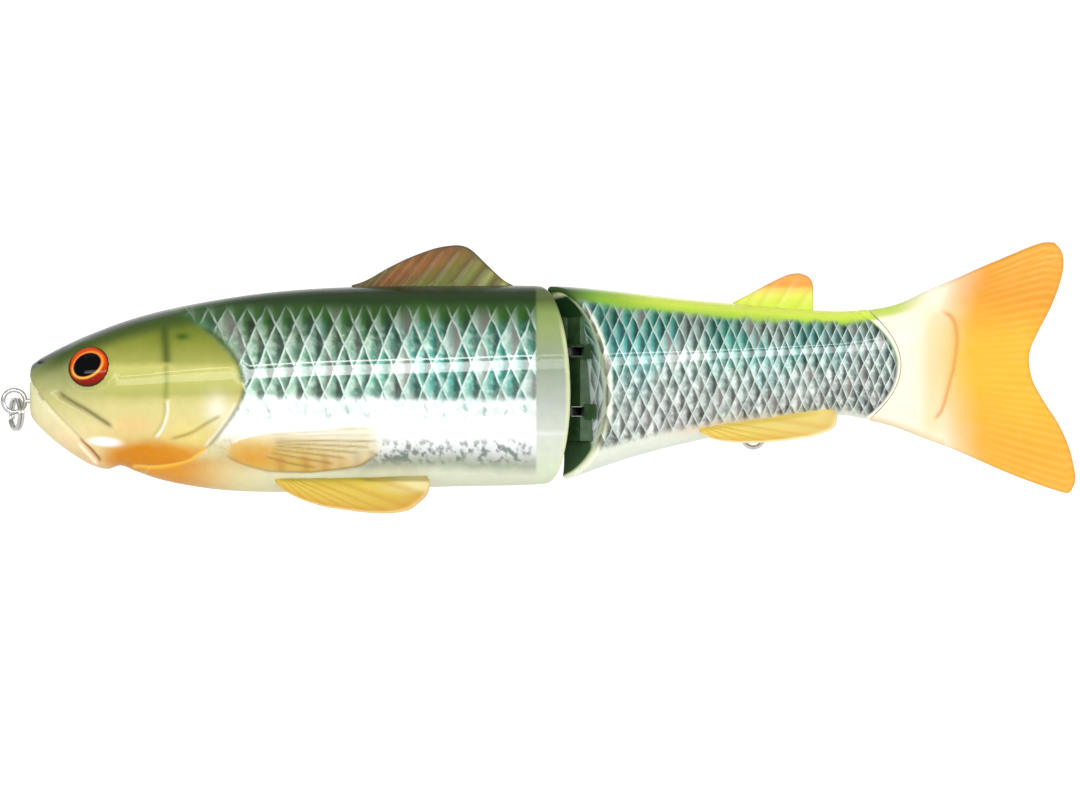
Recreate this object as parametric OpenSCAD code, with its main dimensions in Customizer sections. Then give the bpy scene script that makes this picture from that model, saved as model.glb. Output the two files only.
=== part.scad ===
// Two-section jointed swimbait: a hollow front body and a hollow rear body on a vertical
// hinge pin, with plug-in soft fins and a soft tail.
// Frame: millimetres, +Z up, the nose towards -X and the tail towards +X, left side at -Y.
// The origin is the centre of the line-tie eye in front of the mouth.

/* [Body] */
// Widest place across the front body
body_w = 29; // [27:0.5:31]
// Wall of the moulded half shells
wall = 1.8; // [1.5:0.1:2.1]
// Diameter of the eyes
eye_d = 10; // [9:0.5:10.5]

/* [Joint] */
// Diameter of the hinge pin
pin_d = 2; // [1.6:0.1:2.2]
// Thickness of each hinge plate
plate_t = 1.6; // [1.4:0.1:1.8]
// Radial play between a hinge plate's hole and the pin
pin_play = 0.06; // [0.03:0.01:0.1]

/* [Wire] */
// Diameter of the wire in the line tie and the hook hangers
wire_d = 1.2; // [1:0.1:1.3]
// Outside diameter of the split ring
ring_d = 8.1; // [7.6:0.1:8.4]

/* [Fins] */
// Thickness of the dorsal fins
fin_t = 1.6; // [1.2:0.1:1.8]
// Lean of the pelvic fins from the vertical, outwards
pelvic_lean = 35; // [25:1:40]
// Lean of the anal fins from the vertical, outwards
anal_lean = 30; // [20:1:35]
// Thickness of the tail blade
tail_t = 2; // [1.6:0.1:2.4]

/* [Hidden] */

// Side view of the whole body: height of the back and of the belly along X
back_line = [
    [3, 6.8], [4.5, 8.8], [7, 10.5], [12, 13.1], [18, 15.8], [28, 19.5], [40, 22.5],
    [60, 25.7], [80, 27.1], [105, 27.4], [130, 27.3], [142, 26.3], [165, 23.8],
    [191, 21.7], [200, 21.6], [212, 23.6], [219, 26.9], [225, 29.6]
];
belly_line = [
    [3, -2.4], [6, -6.1], [11, -10.5], [17, -14.5], [20, -15.8], [22.5, -16.2],
    [25.5, -15.4], [29, -16.7], [34, -18.4], [40, -19.8], [50, -21.2], [62, -21.7],
    [80, -21.4], [100, -20.5], [128, -19.7], [133, -18.3], [140, -15.8], [149, -12.9],
    [163, -9.4], [180, -6.2], [197, -3.4], [204, -4.6], [212, -6.9], [219, -9.6], [225, -12]
];
// Half width as a share of the widest half width, and the height where it is widest
width_line = [
    [3, 0.18], [6, 0.35], [12, 0.54], [20, 0.69], [30, 0.82], [42, 0.92], [60, 0.99],
    [78, 1], [100, 0.98], [118, 0.93], [133, 0.89], [145, 0.81], [160, 0.7],
    [175, 0.57], [190, 0.43], [203, 0.33], [212, 0.27], [219, 0.19], [225, 0.14]
];
mid_line = [
    [3, 2.5], [20, 1], [60, 1.5], [128, 3.5], [145, 5], [165, 7], [195, 9], [212, 8.5], [225, 8.5]
];

// Ends of the two bodies: x = a + b*|y| + c*z + d*(z - e)^2
nose_end = [3.1, 0, 0, 0, 0];
groove_end = [126.6, 0.48, -0.03, 0, 0];
wedge_end = [129.6, 1, -0.085, 0, 0];
tail_end = [211.5, 0, 0, -0.045, 8.5];
cavity_nose = [9, 0, 0, 0, 0];
groove_wall = groove_end - [2.4, 0, 0, 0, 0];
wedge_wall = wedge_end + [3, 0, 0, 0, 0];
tail_wall = tail_end - [13.5, 0, 0, 0, 0];
socket_start = [200, 0, 0, 0, 0];
socket_end = [222.95, 0, 0, 0, 0];

// Where the flat sections stand between the end surfaces, closer together at the head
front_stations = [4.5, 7, 10, 14, 18, 20.5, 22.5, 25.5, 30, 37, 47, 60, 76, 94, 110, 122];
front_cavity_stations = [12, 16, 20, 26, 34, 46, 62, 82, 104, 121];
rear_stations = [146, 155, 165, 176, 187, 196];
rear_cavity_stations = [146, 152, 160, 168, 176, 184, 190];
socket_stations = [206, 212, 218];
section_steps = 12;
flank_fullness = 0.9;

// Hinge: the axis is vertical at hinge_x, with one plate at each of two heights
hinge_x = 132;
plate_z = [11.8, -2.5];
plate_r = 3.6;
plate_front = 113;
plate_head = 5;
slot_gap = 0.35;
slot_front = 120;
pin_low = -9;
pin_high = 18;
pin_seat = 0.02;
block_nose = 2.7;
block_side = 7;
block_back = 142;
block_z = [-9.5, 20];
lug_wall = 0.6;
lug_nose = 3.2;
lug_tip = 10;
lug_proud = 0.8;
boss_play = 0.06;
web_x = 134;
web_half = 2;
fit_play = 0.05;

// Line tie
eye_r = 2.6;
shank_end = 15;
anchor_r = 2;
ring_wire = 0.8;
ring_turn = 0.7;
ring_at = [0.5, 0, -3.1];
ring_twist = 22;

// Hook hangers: [x, height of the eye's centre, height of the anchor's centre]
hanger_r = 2.4;
land_cut = 0.12;
front_hanger = [87, -23.6, -14.5];
// Turn of the front eye, so that it opens between the pelvic fins
front_hanger_turn = 90;
rear_hanger = [176.3, -8.6, -1];

// Eyes: where the disc's face lies, and the way it looks
eye_at = [18.4, 7.6, 8];
eye_turn = 14;
eye_tilt = 19;
disc_t = 0.7;
lens_rise = 1.7;

// Ballast slugs across the body: [x, z, radius, half length]
slug_front = [48, -10, 5.5, 7];
slug_middle = [64, -11, 5.5, 8];
slug_rear = [97, -11, 5.5, 8];
slug_tail = [152, 1, 3, 5];

// Plain pads inside the shells, each [start corner, size]: about the tie shank, the dorsal
// tang, the pelvic tangs, the hinge block, the second dorsal tang and the anal tangs
shank_pad = [[5, -2, -3], [10, 6, 6]];
dorsal_pad = [[88, -2, 20], [24, 5, 9]];
pelvic_pad = [[67, -2, -25], [28, 20, 11.5]];
block_pad = [[125, -2, -17], [19, 20, 43]];
second_pad = [[174, -2, 15.5], [15, 5, 9]];
anal_pad = [[168, -2, -12], [23, 20, 12.5]];
plate_pad = [20, 9, 6];

// Fin outlines in side view, each with a tang below its root
dorsal_outline = [
    [80.5, 27.5], [84, 28.8], [89.5, 31.9], [94.5, 34.3], [100, 36.3], [103.5, 37.1],
    [106.5, 37.1], [109, 36.1], [112, 33.3], [115, 30.4], [117, 28.6], [119, 27.5],
    [110, 27.5], [110, 22], [90, 22], [90, 27.5]
];
second_dorsal_outline = [
    [171.5, 23.4], [176, 25.8], [180, 28], [184, 29.9], [186, 30.4], [188, 30.3], [189.8, 29.3],
    [190.6, 27.4], [190.6, 21.9], [187, 22.1], [187, 17.5], [176, 17.5], [176, 22.9]
];
pelvic_outline = [
    [62.5, -0.4], [64, -2.6], [68.5, -5.6], [74.5, -7.9], [80, -8.9], [84.5, -9.6], [89.7, -9.8],
    [94, -9], [96.8, -6.8], [98.6, -4.2], [99.2, -0.8], [99, 0.2], [92, 0.2], [92, 2.8],
    [70, 2.8], [70, 0.2]
];
anal_outline = [
    [163.2, -0.7], [164.5, -2], [167, -3.6], [172, -5.1], [180, -6.1], [187.7, -6.2], [192, -5.7],
    [195, -4.4], [196.2, -1.4], [195.6, 0.2], [188, 0.2], [188, 2.2], [171, 2.2], [171, 0.2]
];
// Point on each root line that the fin leans about, on the left side: [y, z]
pelvic_root = [7.4, -18.6];
anal_root = [4.1, -4.6];
anal_pitch = -9;
belly_fin_t = 1.4;

// Tail: the blade bends on a vertical line at the end of the peduncle
flex_x = 224.5;
flex_r = 1.2;
flex_gap = 0.35;
blade_outline = [
    [flex_x, 29.2], [237, 34.6], [245.5, 37.9], [248.3, 37.8], [250, 35.6], [250.4, 32],
    [249.2, 27.3], [247.2, 22.2], [244.4, 16.8], [242.5, 12.6], [242.1, 9.2], [243, 4.8],
    [245.6, 0], [249.2, -5.6], [251.6, -11], [253, -16.2], [253.2, -19], [252.4, -21.3],
    [250.6, -22], [244, -19.8], [236, -16.7], [flex_x, -11.5]
];
tang_outline = [
    [199, 3], [210, 3.5], [217, 4], [219.5, 5.5], [219.5, 12.5], [217, 14], [210, 14.5], [199, 15]
];
tang_t = 2.4;
$fn = 48;

// Smooth curve through a list of [x, value] points, with the slope at each point taken
// from its neighbours
function span(p, x, i = 0) = i >= len(p) - 2 || x < p[i + 1][0] ? i : span(p, x, i + 1);
function slope(p, i) =
    let (a = max(i - 1, 0), b = min(i + 1, len(p) - 1))
    (p[b][1] - p[a][1]) / (p[b][0] - p[a][0]);
function curve(p, x) =
    let (
        i = span(p, x),
        h = p[i + 1][0] - p[i][0],
        t = min(max((x - p[i][0]) / h, 0), 1)
    )
    (2 * t * t * t - 3 * t * t + 1) * p[i][1]
    + (t * t * t - 2 * t * t + t) * h * slope(p, i)
    + (3 * t * t - 2 * t * t * t) * p[i + 1][1]
    + (t * t * t - t * t) * h * slope(p, i + 1);

// Point [y, z] of the body's section at x, at angle t from the back (0) to the belly (180)
function section(x, t, inset) =
    let (
        z = curve(mid_line, x),
        w = curve(width_line, x) * body_w / 2 - inset,
        up = curve(back_line, x) - inset - z,
        down = z - curve(belly_line, x) - inset
    )
    [w * pow(sin(t), flank_fullness), z + (t < 90 ? up : down) * cos(t)];

// Height-and-width rule of an end surface: its x at the point [y, z]
function end_x(end, y, z) =
    end[0] + end[1] * y + end[2] * z + end[3] * (z - end[4]) * (z - end[4]);

// Where an end surface meets the section line at angle t
function meet(end, t, inset, x, n = 6) =
    n == 0 ? x
    : let (q = section(x, t, inset))
      meet(end, t, inset, end_x(end, q[0], q[1]), n - 1);

// Points of the section on an end surface, and the points level with them on the flat side
// at y = -skirt
function ring(end, inset, skirt) = [
    for (j = [0:section_steps])
        let (
            t = 180 * j / section_steps,
            q = section(meet(end, t, inset, end[0]), t, inset),
            edge = j == 0 || j == section_steps,
            y = edge ? 0 : q[0]
        )
        each [[end_x(end, y, q[1]), y, q[1]], [end_x(end, -skirt, q[1]), -skirt, q[1]]]
];

// Half of the body (y > 0) between two end surfaces, as a chain of hulls between the flat
// sections at the stations. A skirt carries the flat side past y = 0.
module half_loft(from, to, stations, inset = 0, skirt = 0) {
    ends = concat([from], [for (x = stations) [x, 0, 0, 0, 0]], [to]);
    for (i = [0:len(ends) - 2]) {
        points = concat(ring(ends[i], inset, skirt), ring(ends[i + 1], inset, skirt));
        hull() polyhedron(points, [[for (k = [0:len(points) - 1]) k]]);
    }
}

module pad(p) {
    translate(p[0]) cube(p[1]);
}

module on_side(side) {
    if (side == "left") mirror([0, 1, 0]) children();
    else children();
}

// Cylinder across the body, from the parting plane outwards
module across(x, z, r, from, to) {
    translate([x, from, z]) rotate([-90, 0, 0]) cylinder(r = r, h = to - from);
}

// Shape in side view, thickness t, standing in the plane y = 0
module upright(outline, t, grow = 0) {
    rotate([90, 0, 0]) linear_extrude(height = t + 2 * grow, center = true) polygon(outline);
}

// Moves a paired belly fin from its own plane to the right side of the body
module lean_out(root, lean, pitch = 0, about = 0) {
    translate([about, root[0], root[1]])
        rotate([lean, 0, 0])
        rotate([0, pitch, 0])
        translate([-about, 0, 0])
        children();
}

// Wire eye in the plane y = 0 with a straight shank to a loop held between the half shells
module wire_eye(x, z, r, turn = 0) {
    translate([x, 0, z]) rotate([90, 0, turn]) rotate_extrude() translate([r, 0]) circle(d = wire_d);
}

// The short flat land that wears into the inside of a wire eye
module eye_land(x, z, r, turn = 0) {
    translate([x, 0, z]) rotate([90, 0, turn])
        cylinder(r = r - wire_d / 2 + land_cut, h = 2 * wire_d, center = true);
}

// Bed for the loop at the shank's end: a round pocket that opens on the parting plane
module loop_bed(x, z) {
    across(x, z, anchor_r + wire_d / 2 + fit_play, -1, wire_d / 2 + fit_play);
}

module line_tie_eye() {
    color("silver") difference() {
        union() {
            wire_eye(0, 0, eye_r);
            wire_eye(shank_end, 0, anchor_r);
            translate([eye_r, 0, 0]) rotate([0, 90, 0])
                cylinder(d = wire_d, h = shank_end - anchor_r - eye_r);
        }
        eye_land(0, 0, eye_r);
    }
}

module line_tie_bed() {
    loop_bed(shank_end, 0);
    translate([1, 0, 0]) rotate([0, 90, 0]) cylinder(d = wire_d + 2 * fit_play, h = shank_end - 2);
}

// Hook hanger, its eye turned about the upright shank
module hanger(h, turn = 0) {
    color("silver") difference() {
        union() {
            wire_eye(h[0], h[1], hanger_r, turn);
            wire_eye(h[0], h[2], anchor_r);
            translate([h[0], 0, h[1] + hanger_r]) cylinder(d = wire_d, h = h[2] - h[1] - hanger_r - anchor_r);
        }
        eye_land(h[0], h[1], hanger_r, turn);
    }
}

module hanger_bed(h, turn = 0) {
    loop_bed(h[0], h[2]);
    translate([h[0], 0, h[1] + hanger_r - wire_d / 2 - fit_play])
        cylinder(d = wire_d + 2 * fit_play, h = h[2] - h[1] - hanger_r);
    translate([h[0], 0, h[1]]) rotate([90, 0, turn])
        cylinder(r = hanger_r + wire_d / 2 + fit_play, h = wire_d + 2 * fit_play, center = true);
}

// Hinge plate: a bar with a thicker round end about the pin and a wide head in the front body
module plate_shape(z, grow = 0) {
    translate([0, 0, z - plate_t / 2 - grow])
        linear_extrude(height = plate_t + 2 * grow)
        union() {
            translate([plate_front, -plate_r - grow])
                square([hinge_x - plate_front, 2 * plate_r + 2 * grow]);
            translate([plate_front - grow, -plate_head - grow])
                square([plate_head + 2 * grow, 2 * plate_head + 2 * grow]);
        }
}

module hinge_plate(z) {
    boss = slot_gap - boss_play;
    color([0.12, 0.13, 0.12]) difference() {
        union() {
            plate_shape(z);
            translate([hinge_x, 0, z - plate_t / 2 - boss]) cylinder(r = plate_r, h = plate_t + 2 * boss);
        }
        translate([hinge_x, 0, z - plate_t]) cylinder(r = pin_d / 2 + pin_play, h = 2 * plate_t);
    }
}

module hinge_pin() {
    color("gainsboro") translate([hinge_x, 0, pin_low]) cylinder(d = pin_d, h = pin_high - pin_low);
}

// Ballast slug lying across the body
module slug(s) {
    color("dimgray") across(s[0], s[1], s[2], -s[3], s[3]);
}

module slug_bed(s) {
    across(s[0], s[1], s[2] + fit_play, -1, s[3] + fit_play);
}

// Eye on the right side: +Z looks outwards from the disc's face
module eye_place() {
    translate(eye_at) rotate([-90 + eye_tilt, 0, 0]) rotate([0, -eye_turn, 0]) children();
}

module eye_disc() {
    color([0.85, 0.35, 0.12]) eye_place() translate([0, 0, -disc_t]) cylinder(d = eye_d, h = disc_t);
}

// Lens: a short straight rim and a dome that is part of a sphere
module eye_lens() {
    rim = 0.5;
    rise = lens_rise - rim;
    ball = (eye_d * eye_d / 4 + rise * rise) / (2 * rise);
    color([0.9, 0.95, 1, 0.5]) eye_place() intersection() {
        cylinder(d = eye_d, h = lens_rise + 1);
        translate([0, 0, rim + rise - ball]) sphere(r = ball);
    }
}

module eye_bed() {
    eye_place() translate([0, 0, -disc_t]) cylinder(r = eye_d / 2 + fit_play, h = 8);
}

module dorsal_fin() {
    color([0.8, 0.5, 0.2]) upright(dorsal_outline, fin_t);
}

module second_dorsal_fin() {
    color([0.75, 0.8, 0.3]) upright(second_dorsal_outline, fin_t);
}

module pelvic_fin() {
    color([0.95, 0.8, 0.35]) lean_out(pelvic_root, pelvic_lean) upright(pelvic_outline, belly_fin_t);
}

module anal_fin() {
    color([0.95, 0.9, 0.6])
        lean_out(anal_root, anal_lean, anal_pitch, 179)
        upright(anal_outline, belly_fin_t);
}

// Slot for a fin's tang, cut a little larger than the tang
module tang_slot(x1, x2, z1, z2, t) {
    translate([x1 - fit_play, -t / 2 - fit_play, z1 - fit_play])
        cube([x2 - x1 + 2 * fit_play, t + 2 * fit_play, z2 - z1]);
}

// Front body, right half: the wall with the blocks that hold the inner pieces
module front_blocks() {
    across(shank_end, 0, anchor_r + 3, -2, 20);
    for (p = [shank_pad, dorsal_pad, pelvic_pad]) pad(p);
    across(front_hanger[0], front_hanger[2], anchor_r + 2.5, -2, 20);
    for (s = [slug_front, slug_middle, slug_rear]) across(s[0], s[1], s[2] + 1.5, -2, 20);
    for (z = plate_z) pad([[plate_front - 2, -2, z - plate_pad[2] / 2], plate_pad]);
    eye_place() translate([0, 0, -disc_t - 1.8]) cylinder(r = eye_d / 2 + 1.5, h = 6);
}

module front_half() {
    color([0.55, 0.7, 0.45]) difference() {
        half_loft(nose_end, groove_end, front_stations);
        difference() {
            half_loft(cavity_nose, groove_wall, front_cavity_stations, wall, 1);
            front_blocks();
        }
        line_tie_bed();
        hanger_bed(front_hanger, front_hanger_turn);
        for (s = [slug_front, slug_middle, slug_rear]) slug_bed(s);
        for (z = plate_z) plate_shape(z, fit_play);
        tang_slot(90, 110, 22, 32, fin_t);
        lean_out(pelvic_root, pelvic_lean) {
            tang_slot(70, 92, -4, 2.8 + 2 * fit_play, belly_fin_t);
            tang_slot(62, 99.6, -1.6, 2.5, belly_fin_t);
        }
        eye_bed();
    }
}

// Hinge block: the middle of the rear body's front, with a bore for the pin and a slot for
// each hinge plate
module block_plan(grow = 0) {
    polygon([
        [hinge_x, -block_nose], [block_back - block_side, -block_side - grow],
        [block_back, -block_side - grow], [block_back, block_side + grow],
        [block_back - block_side, block_side + grow], [hinge_x, block_nose]
    ]);
}

// Slot across the block, from its nose to just behind the plate's round end, with a web at
// the back that follows the round end
module plate_slot(z) {
    slot_r = plate_r + slot_gap;
    translate([0, 0, z - plate_t / 2 - slot_gap])
        linear_extrude(height = plate_t + 2 * slot_gap)
        difference() {
            translate([slot_front, -20]) square([hinge_x + slot_r - slot_front, 40]);
            difference() {
                translate([web_x, -web_half]) square([slot_r, 2 * web_half]);
                translate([hinge_x, 0]) circle(r = slot_r);
            }
        }
}

// Plan of a lug: the block's nose made fuller, with a rib that lies on each shell's face
module lug_plan(top) {
    seat = end_x(wedge_end, 0, top) - fit_play;
    front = seat - lug_proud;
    for (side = [-1, 1])
        polygon([
            [hinge_x, 0], [hinge_x - 1, side * (hinge_x - 1 - front)],
            [front + lug_tip, side * lug_tip], [seat + lug_tip - lug_proud, side * (lug_tip - 1)],
            [seat + block_side, side * block_side], [block_back, side * block_side], [block_back, 0]
        ]);
    translate([hinge_x, 0]) circle(r = lug_nose);
}

module hinge_block() {
    lug_h = plate_t + 2 * slot_gap + 2 * lug_wall;
    color([0.13, 0.3, 0.14]) difference() {
        union() {
            translate([0, 0, block_z[0]]) linear_extrude(height = block_z[1] - block_z[0]) block_plan();
            translate([hinge_x, 0, block_z[0]]) cylinder(r = block_nose, h = block_z[1] - block_z[0]);
            for (z = plate_z)
                translate([0, 0, z - lug_h / 2]) linear_extrude(height = lug_h) lug_plan(z + lug_h / 2);
        }
        translate([hinge_x, 0, pin_low]) cylinder(r = pin_d / 2 + pin_seat, h = pin_high - pin_low);
        for (z = plate_z) plate_slot(z);
    }
}

// Rear body, right half: the wall with the blocks that hold the inner pieces
module rear_blocks() {
    for (p = [block_pad, second_pad, anal_pad]) pad(p);
    across(slug_tail[0], slug_tail[1], slug_tail[2] + 1.5, -2, 20);
    across(rear_hanger[0], rear_hanger[2], anchor_r + 2.5, -2, 20);
}

module rear_half() {
    color([0.5, 0.75, 0.65]) difference() {
        half_loft(wedge_end, tail_end, rear_stations);
        difference() {
            half_loft(wedge_wall, tail_wall, rear_cavity_stations, wall, 1);
            rear_blocks();
        }
        translate([120, -1, block_z[0] - fit_play])
            cube([
                block_back + fit_play - 120, 1 + block_side + fit_play,
                block_z[1] - block_z[0] + 2 * fit_play
            ]);
        slug_bed(slug_tail);
        hanger_bed(rear_hanger);
        tang_slot(176, 187, 17.5, 27, fin_t);
        lean_out(anal_root, anal_lean, anal_pitch, 179) {
            tang_slot(171, 188, -4, 2.2 + 2 * fit_play, belly_fin_t);
            tang_slot(163, 196.4, -1.4, 2, belly_fin_t);
        }
        upright(tang_outline, tang_t, fit_play);
    }
}

module tail_tang() {
    color("ivory") upright(tang_outline, tang_t);
}

// Soft tail: the sleeve that meets the rear shells' round end and goes over the tang
module tail_socket() {
    shell_end = concat(
        [for (z = [-9:1.5:30]) [end_x(tail_end, 0, z), z]],
        [[180, 30], [180, -9]]
    );
    color([0.97, 0.93, 0.8]) difference() {
        union() {
            half_loft(socket_start, socket_end, socket_stations);
            mirror([0, 1, 0]) half_loft(socket_start, socket_end, socket_stations);
        }
        upright(shell_end, 30);
        upright(tang_outline, tang_t, fit_play);
    }
}

module tail_blade() {
    color([0.97, 0.68, 0.25]) {
        upright(blade_outline, tail_t);
        translate([flex_x, 0, -11.5]) cylinder(r = flex_r, h = 40.7);
    }
}

// Split ring: two turns of wire side by side
module line_tie_ring() {
    color("silver") translate(ring_at) rotate([0, 90, ring_twist])
        rotate_extrude()
        for (side = [-1, 1])
        translate([(ring_d - ring_wire) / 2, side * ring_turn / 2])
        circle(d = ring_wire);
}

on_side("left") front_half();  // front_shell_left
front_half();  // front_shell_right
on_side("left") rear_half();  // rear_shell_left
rear_half();  // rear_shell_right
line_tie_eye();
line_tie_ring();
hinge_plate(plate_z[0]);  // hinge_plate_upper
hinge_plate(plate_z[1]);  // hinge_plate_lower
hinge_block();
hinge_pin();
on_side("left") eye_disc();  // eye_disc_left
eye_disc();  // eye_disc_right
on_side("left") eye_lens();  // eye_lens_left
eye_lens();  // eye_lens_right
dorsal_fin();
second_dorsal_fin();
on_side("left") pelvic_fin();  // pelvic_fin_left
pelvic_fin();  // pelvic_fin_right
on_side("left") anal_fin();  // anal_fin_left
anal_fin();  // anal_fin_right
hanger(front_hanger, front_hanger_turn);  // front_hook_hanger
hanger(rear_hanger);  // rear_hook_hanger
slug(slug_front);  // belly_weight_front
slug(slug_middle);  // belly_weight_middle
slug(slug_rear);  // belly_weight_rear
slug(slug_tail);  // rear_body_weight
tail_tang();
tail_socket();
tail_blade();
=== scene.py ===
"""Looks of the two-section jointed swimbait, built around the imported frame.

Lengths in the shape functions are in millimetres and are turned into metres when a mesh is
made. +X is towards the tail, +Z is up, and the lure's left side is at -Y, towards the camera.
"""
import math

import bmesh
import bpy
import numpy as np
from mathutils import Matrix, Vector


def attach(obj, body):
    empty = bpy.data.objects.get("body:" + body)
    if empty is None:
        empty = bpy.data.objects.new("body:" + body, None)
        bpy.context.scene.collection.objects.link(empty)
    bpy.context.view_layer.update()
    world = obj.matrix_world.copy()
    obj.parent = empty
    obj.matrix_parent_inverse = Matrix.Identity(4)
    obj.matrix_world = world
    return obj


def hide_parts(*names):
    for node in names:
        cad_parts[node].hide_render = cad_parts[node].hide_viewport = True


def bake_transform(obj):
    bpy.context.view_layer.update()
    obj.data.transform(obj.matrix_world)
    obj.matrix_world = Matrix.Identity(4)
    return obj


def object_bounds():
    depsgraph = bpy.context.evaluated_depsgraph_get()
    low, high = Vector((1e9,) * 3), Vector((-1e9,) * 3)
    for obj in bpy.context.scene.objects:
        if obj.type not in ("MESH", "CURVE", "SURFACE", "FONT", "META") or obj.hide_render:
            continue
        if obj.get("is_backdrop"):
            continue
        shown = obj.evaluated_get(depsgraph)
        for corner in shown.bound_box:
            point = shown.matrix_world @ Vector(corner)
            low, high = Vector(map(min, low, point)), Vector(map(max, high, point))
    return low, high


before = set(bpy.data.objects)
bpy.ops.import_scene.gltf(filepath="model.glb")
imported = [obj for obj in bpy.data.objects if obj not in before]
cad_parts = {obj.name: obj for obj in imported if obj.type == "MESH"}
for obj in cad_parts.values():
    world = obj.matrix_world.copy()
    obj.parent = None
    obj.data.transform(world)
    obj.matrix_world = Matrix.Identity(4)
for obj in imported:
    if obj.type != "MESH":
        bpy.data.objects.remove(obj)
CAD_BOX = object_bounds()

MM = 0.001

# ---------------------------------------------------------------- body curves, as in part.scad
BACK = [(3, 6.8), (4.5, 8.8), (7, 10.5), (12, 13.1), (18, 15.8), (28, 19.5), (40, 22.5),
        (60, 25.7), (80, 27.1), (105, 27.4), (130, 27.3), (142, 26.3), (165, 23.8),
        (191, 21.7), (200, 21.6), (212, 23.6), (219, 26.9), (225, 29.6)]
BELLY = [(3, -2.4), (6, -6.1), (11, -10.5), (17, -14.5), (20, -15.8), (22.5, -16.2),
         (25.5, -15.4), (29, -16.7), (34, -18.4), (40, -19.8), (50, -21.2), (62, -21.7),
         (80, -21.4), (100, -20.5), (128, -19.7), (133, -18.3), (140, -15.8), (149, -12.9),
         (163, -9.4), (180, -6.2), (197, -3.4), (204, -4.6), (212, -6.9), (219, -9.6),
         (225, -12)]
WIDTH = [(3, 0.18), (6, 0.35), (12, 0.54), (20, 0.69), (30, 0.82), (42, 0.92), (60, 0.99),
         (78, 1), (100, 0.98), (118, 0.93), (133, 0.89), (145, 0.81), (160, 0.7),
         (175, 0.57), (190, 0.43), (203, 0.33), (212, 0.27), (219, 0.19), (225, 0.14)]
MIDDLE = [(3, 2.5), (20, 1), (60, 1.5), (128, 3.5), (145, 5), (165, 7), (195, 9),
          (212, 8.5), (225, 8.5)]
BODY_HALF_WIDTH = 14.5
FLANK_FULLNESS = 0.9
NOSE_X = 3.1
EYE_AT = Vector((18.4, 7.6, 8.0))
EYE_TURN = math.radians(14)
EYE_TILT = math.radians(19)
EYE_R = 5.0


def curve(points, x):
    """Smooth curve through [x, value] points, held flat beyond its ends."""
    p = np.array(points, float)
    x = np.clip(np.asarray(x, float), p[0, 0], p[-1, 0])
    i = np.clip(np.searchsorted(p[:, 0], x, side="right") - 1, 0, len(p) - 2)
    lo = np.maximum(np.arange(len(p)) - 1, 0)
    hi = np.minimum(np.arange(len(p)) + 1, len(p) - 1)
    slope = (p[hi, 1] - p[lo, 1]) / (p[hi, 0] - p[lo, 0])
    h = p[i + 1, 0] - p[i, 0]
    t = (x - p[i, 0]) / h
    return ((2 * t**3 - 3 * t**2 + 1) * p[i, 1] + (t**3 - 2 * t**2 + t) * h * slope[i]
            + (3 * t**2 - 2 * t**3) * p[i + 1, 1] + (t**3 - t**2) * h * slope[i + 1])


def section(x, t):
    """Half width and height of the body's section at x, at angle t from the back."""
    z = curve(MIDDLE, x)
    w = curve(WIDTH, x) * BODY_HALF_WIDTH
    up, down = curve(BACK, x) - z, z - curve(BELLY, x)
    return (w * np.sin(t) ** FLANK_FULLNESS,
            z + np.where(t < math.pi / 2, up, down) * np.cos(t))


def half_width_at(x, z):
    """Half width of the body at the side-view point (x, z), 0 outside it."""
    m = curve(MIDDLE, x)
    reach = np.where(z > m, curve(BACK, x) - m, m - curve(BELLY, x))
    c = np.clip((z - m) / reach, -1, 1)
    return curve(WIDTH, x) * BODY_HALF_WIDTH * (1 - c**2) ** (FLANK_FULLNESS / 2)


def nose_end(y, z):
    return NOSE_X + 0 * z


def groove_end(y, z):
    return 126.6 + 0.48 * y - 0.03 * z


def wedge_end(y, z):
    return 129.6 + y - 0.085 * z


def tail_end(y, z):
    return 211.5 - 0.045 * (z - 8.5) ** 2


def smooth(a, b, v):
    """0 at a and below, 1 at b and above."""
    t = np.clip((np.asarray(v, float) - a) / (b - a), 0, 1)
    return t * t * (3 - 2 * t)


def band(a, b, edge, v):
    """1 between a and b, fading over edge on each side."""
    return smooth(a - edge, a + edge, v) * (1 - smooth(b - edge, b + edge, v))


def spline(points, steps=8):
    """Points along a smooth open line through given points."""
    p = np.array(points, float)
    k = np.arange(len(p))
    t = np.linspace(0, len(p) - 1, (len(p) - 1) * steps + 1)
    return np.stack([curve(np.stack([k, p[:, c]], 1), t) for c in range(p.shape[1])], 1)


def line_field(points, x, z):
    """Distance from (x, z) to a side-view line, the share along it, and the signed side:
    positive on the left hand of its direction."""
    p = spline(points)
    best = np.full(x.shape, 1e9)
    share, sign = np.zeros(x.shape), np.zeros(x.shape)
    for i in range(len(p) - 1):
        (ax, az), (bx, bz) = p[i], p[i + 1]
        dx, dz = bx - ax, bz - az
        t = np.clip(((x - ax) * dx + (z - az) * dz) / (dx * dx + dz * dz), 0, 1)
        d = np.hypot(x - ax - t * dx, z - az - t * dz)
        near = d < best
        best = np.where(near, d, best)
        share = np.where(near, (i + t) / (len(p) - 1), share)
        sign = np.where(near, dx * (z - az) - dz * (x - ax), sign)
    return best, share, np.sign(sign)


def shifted(points, dx, dz=0.0):
    return [(x + dx, z + dz) for x, z in points]


def spot(x, z, x0, z0, rx, rz):
    """A soft oval spot: 1 at its centre (x0, z0), fading out over rx and rz."""
    return np.exp(-(((x - x0) / rx) ** 2 + ((z - z0) / rz) ** 2))


def groove(points, x, z, width, fade=0.12):
    """1 on a line, falling off over width, and fading out at both of its ends."""
    d, s, _ = line_field(points, x, z)
    return np.exp(-((d / width) ** 2)) * smooth(0, fade, s) * (1 - smooth(1 - fade, 1, s))


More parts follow.
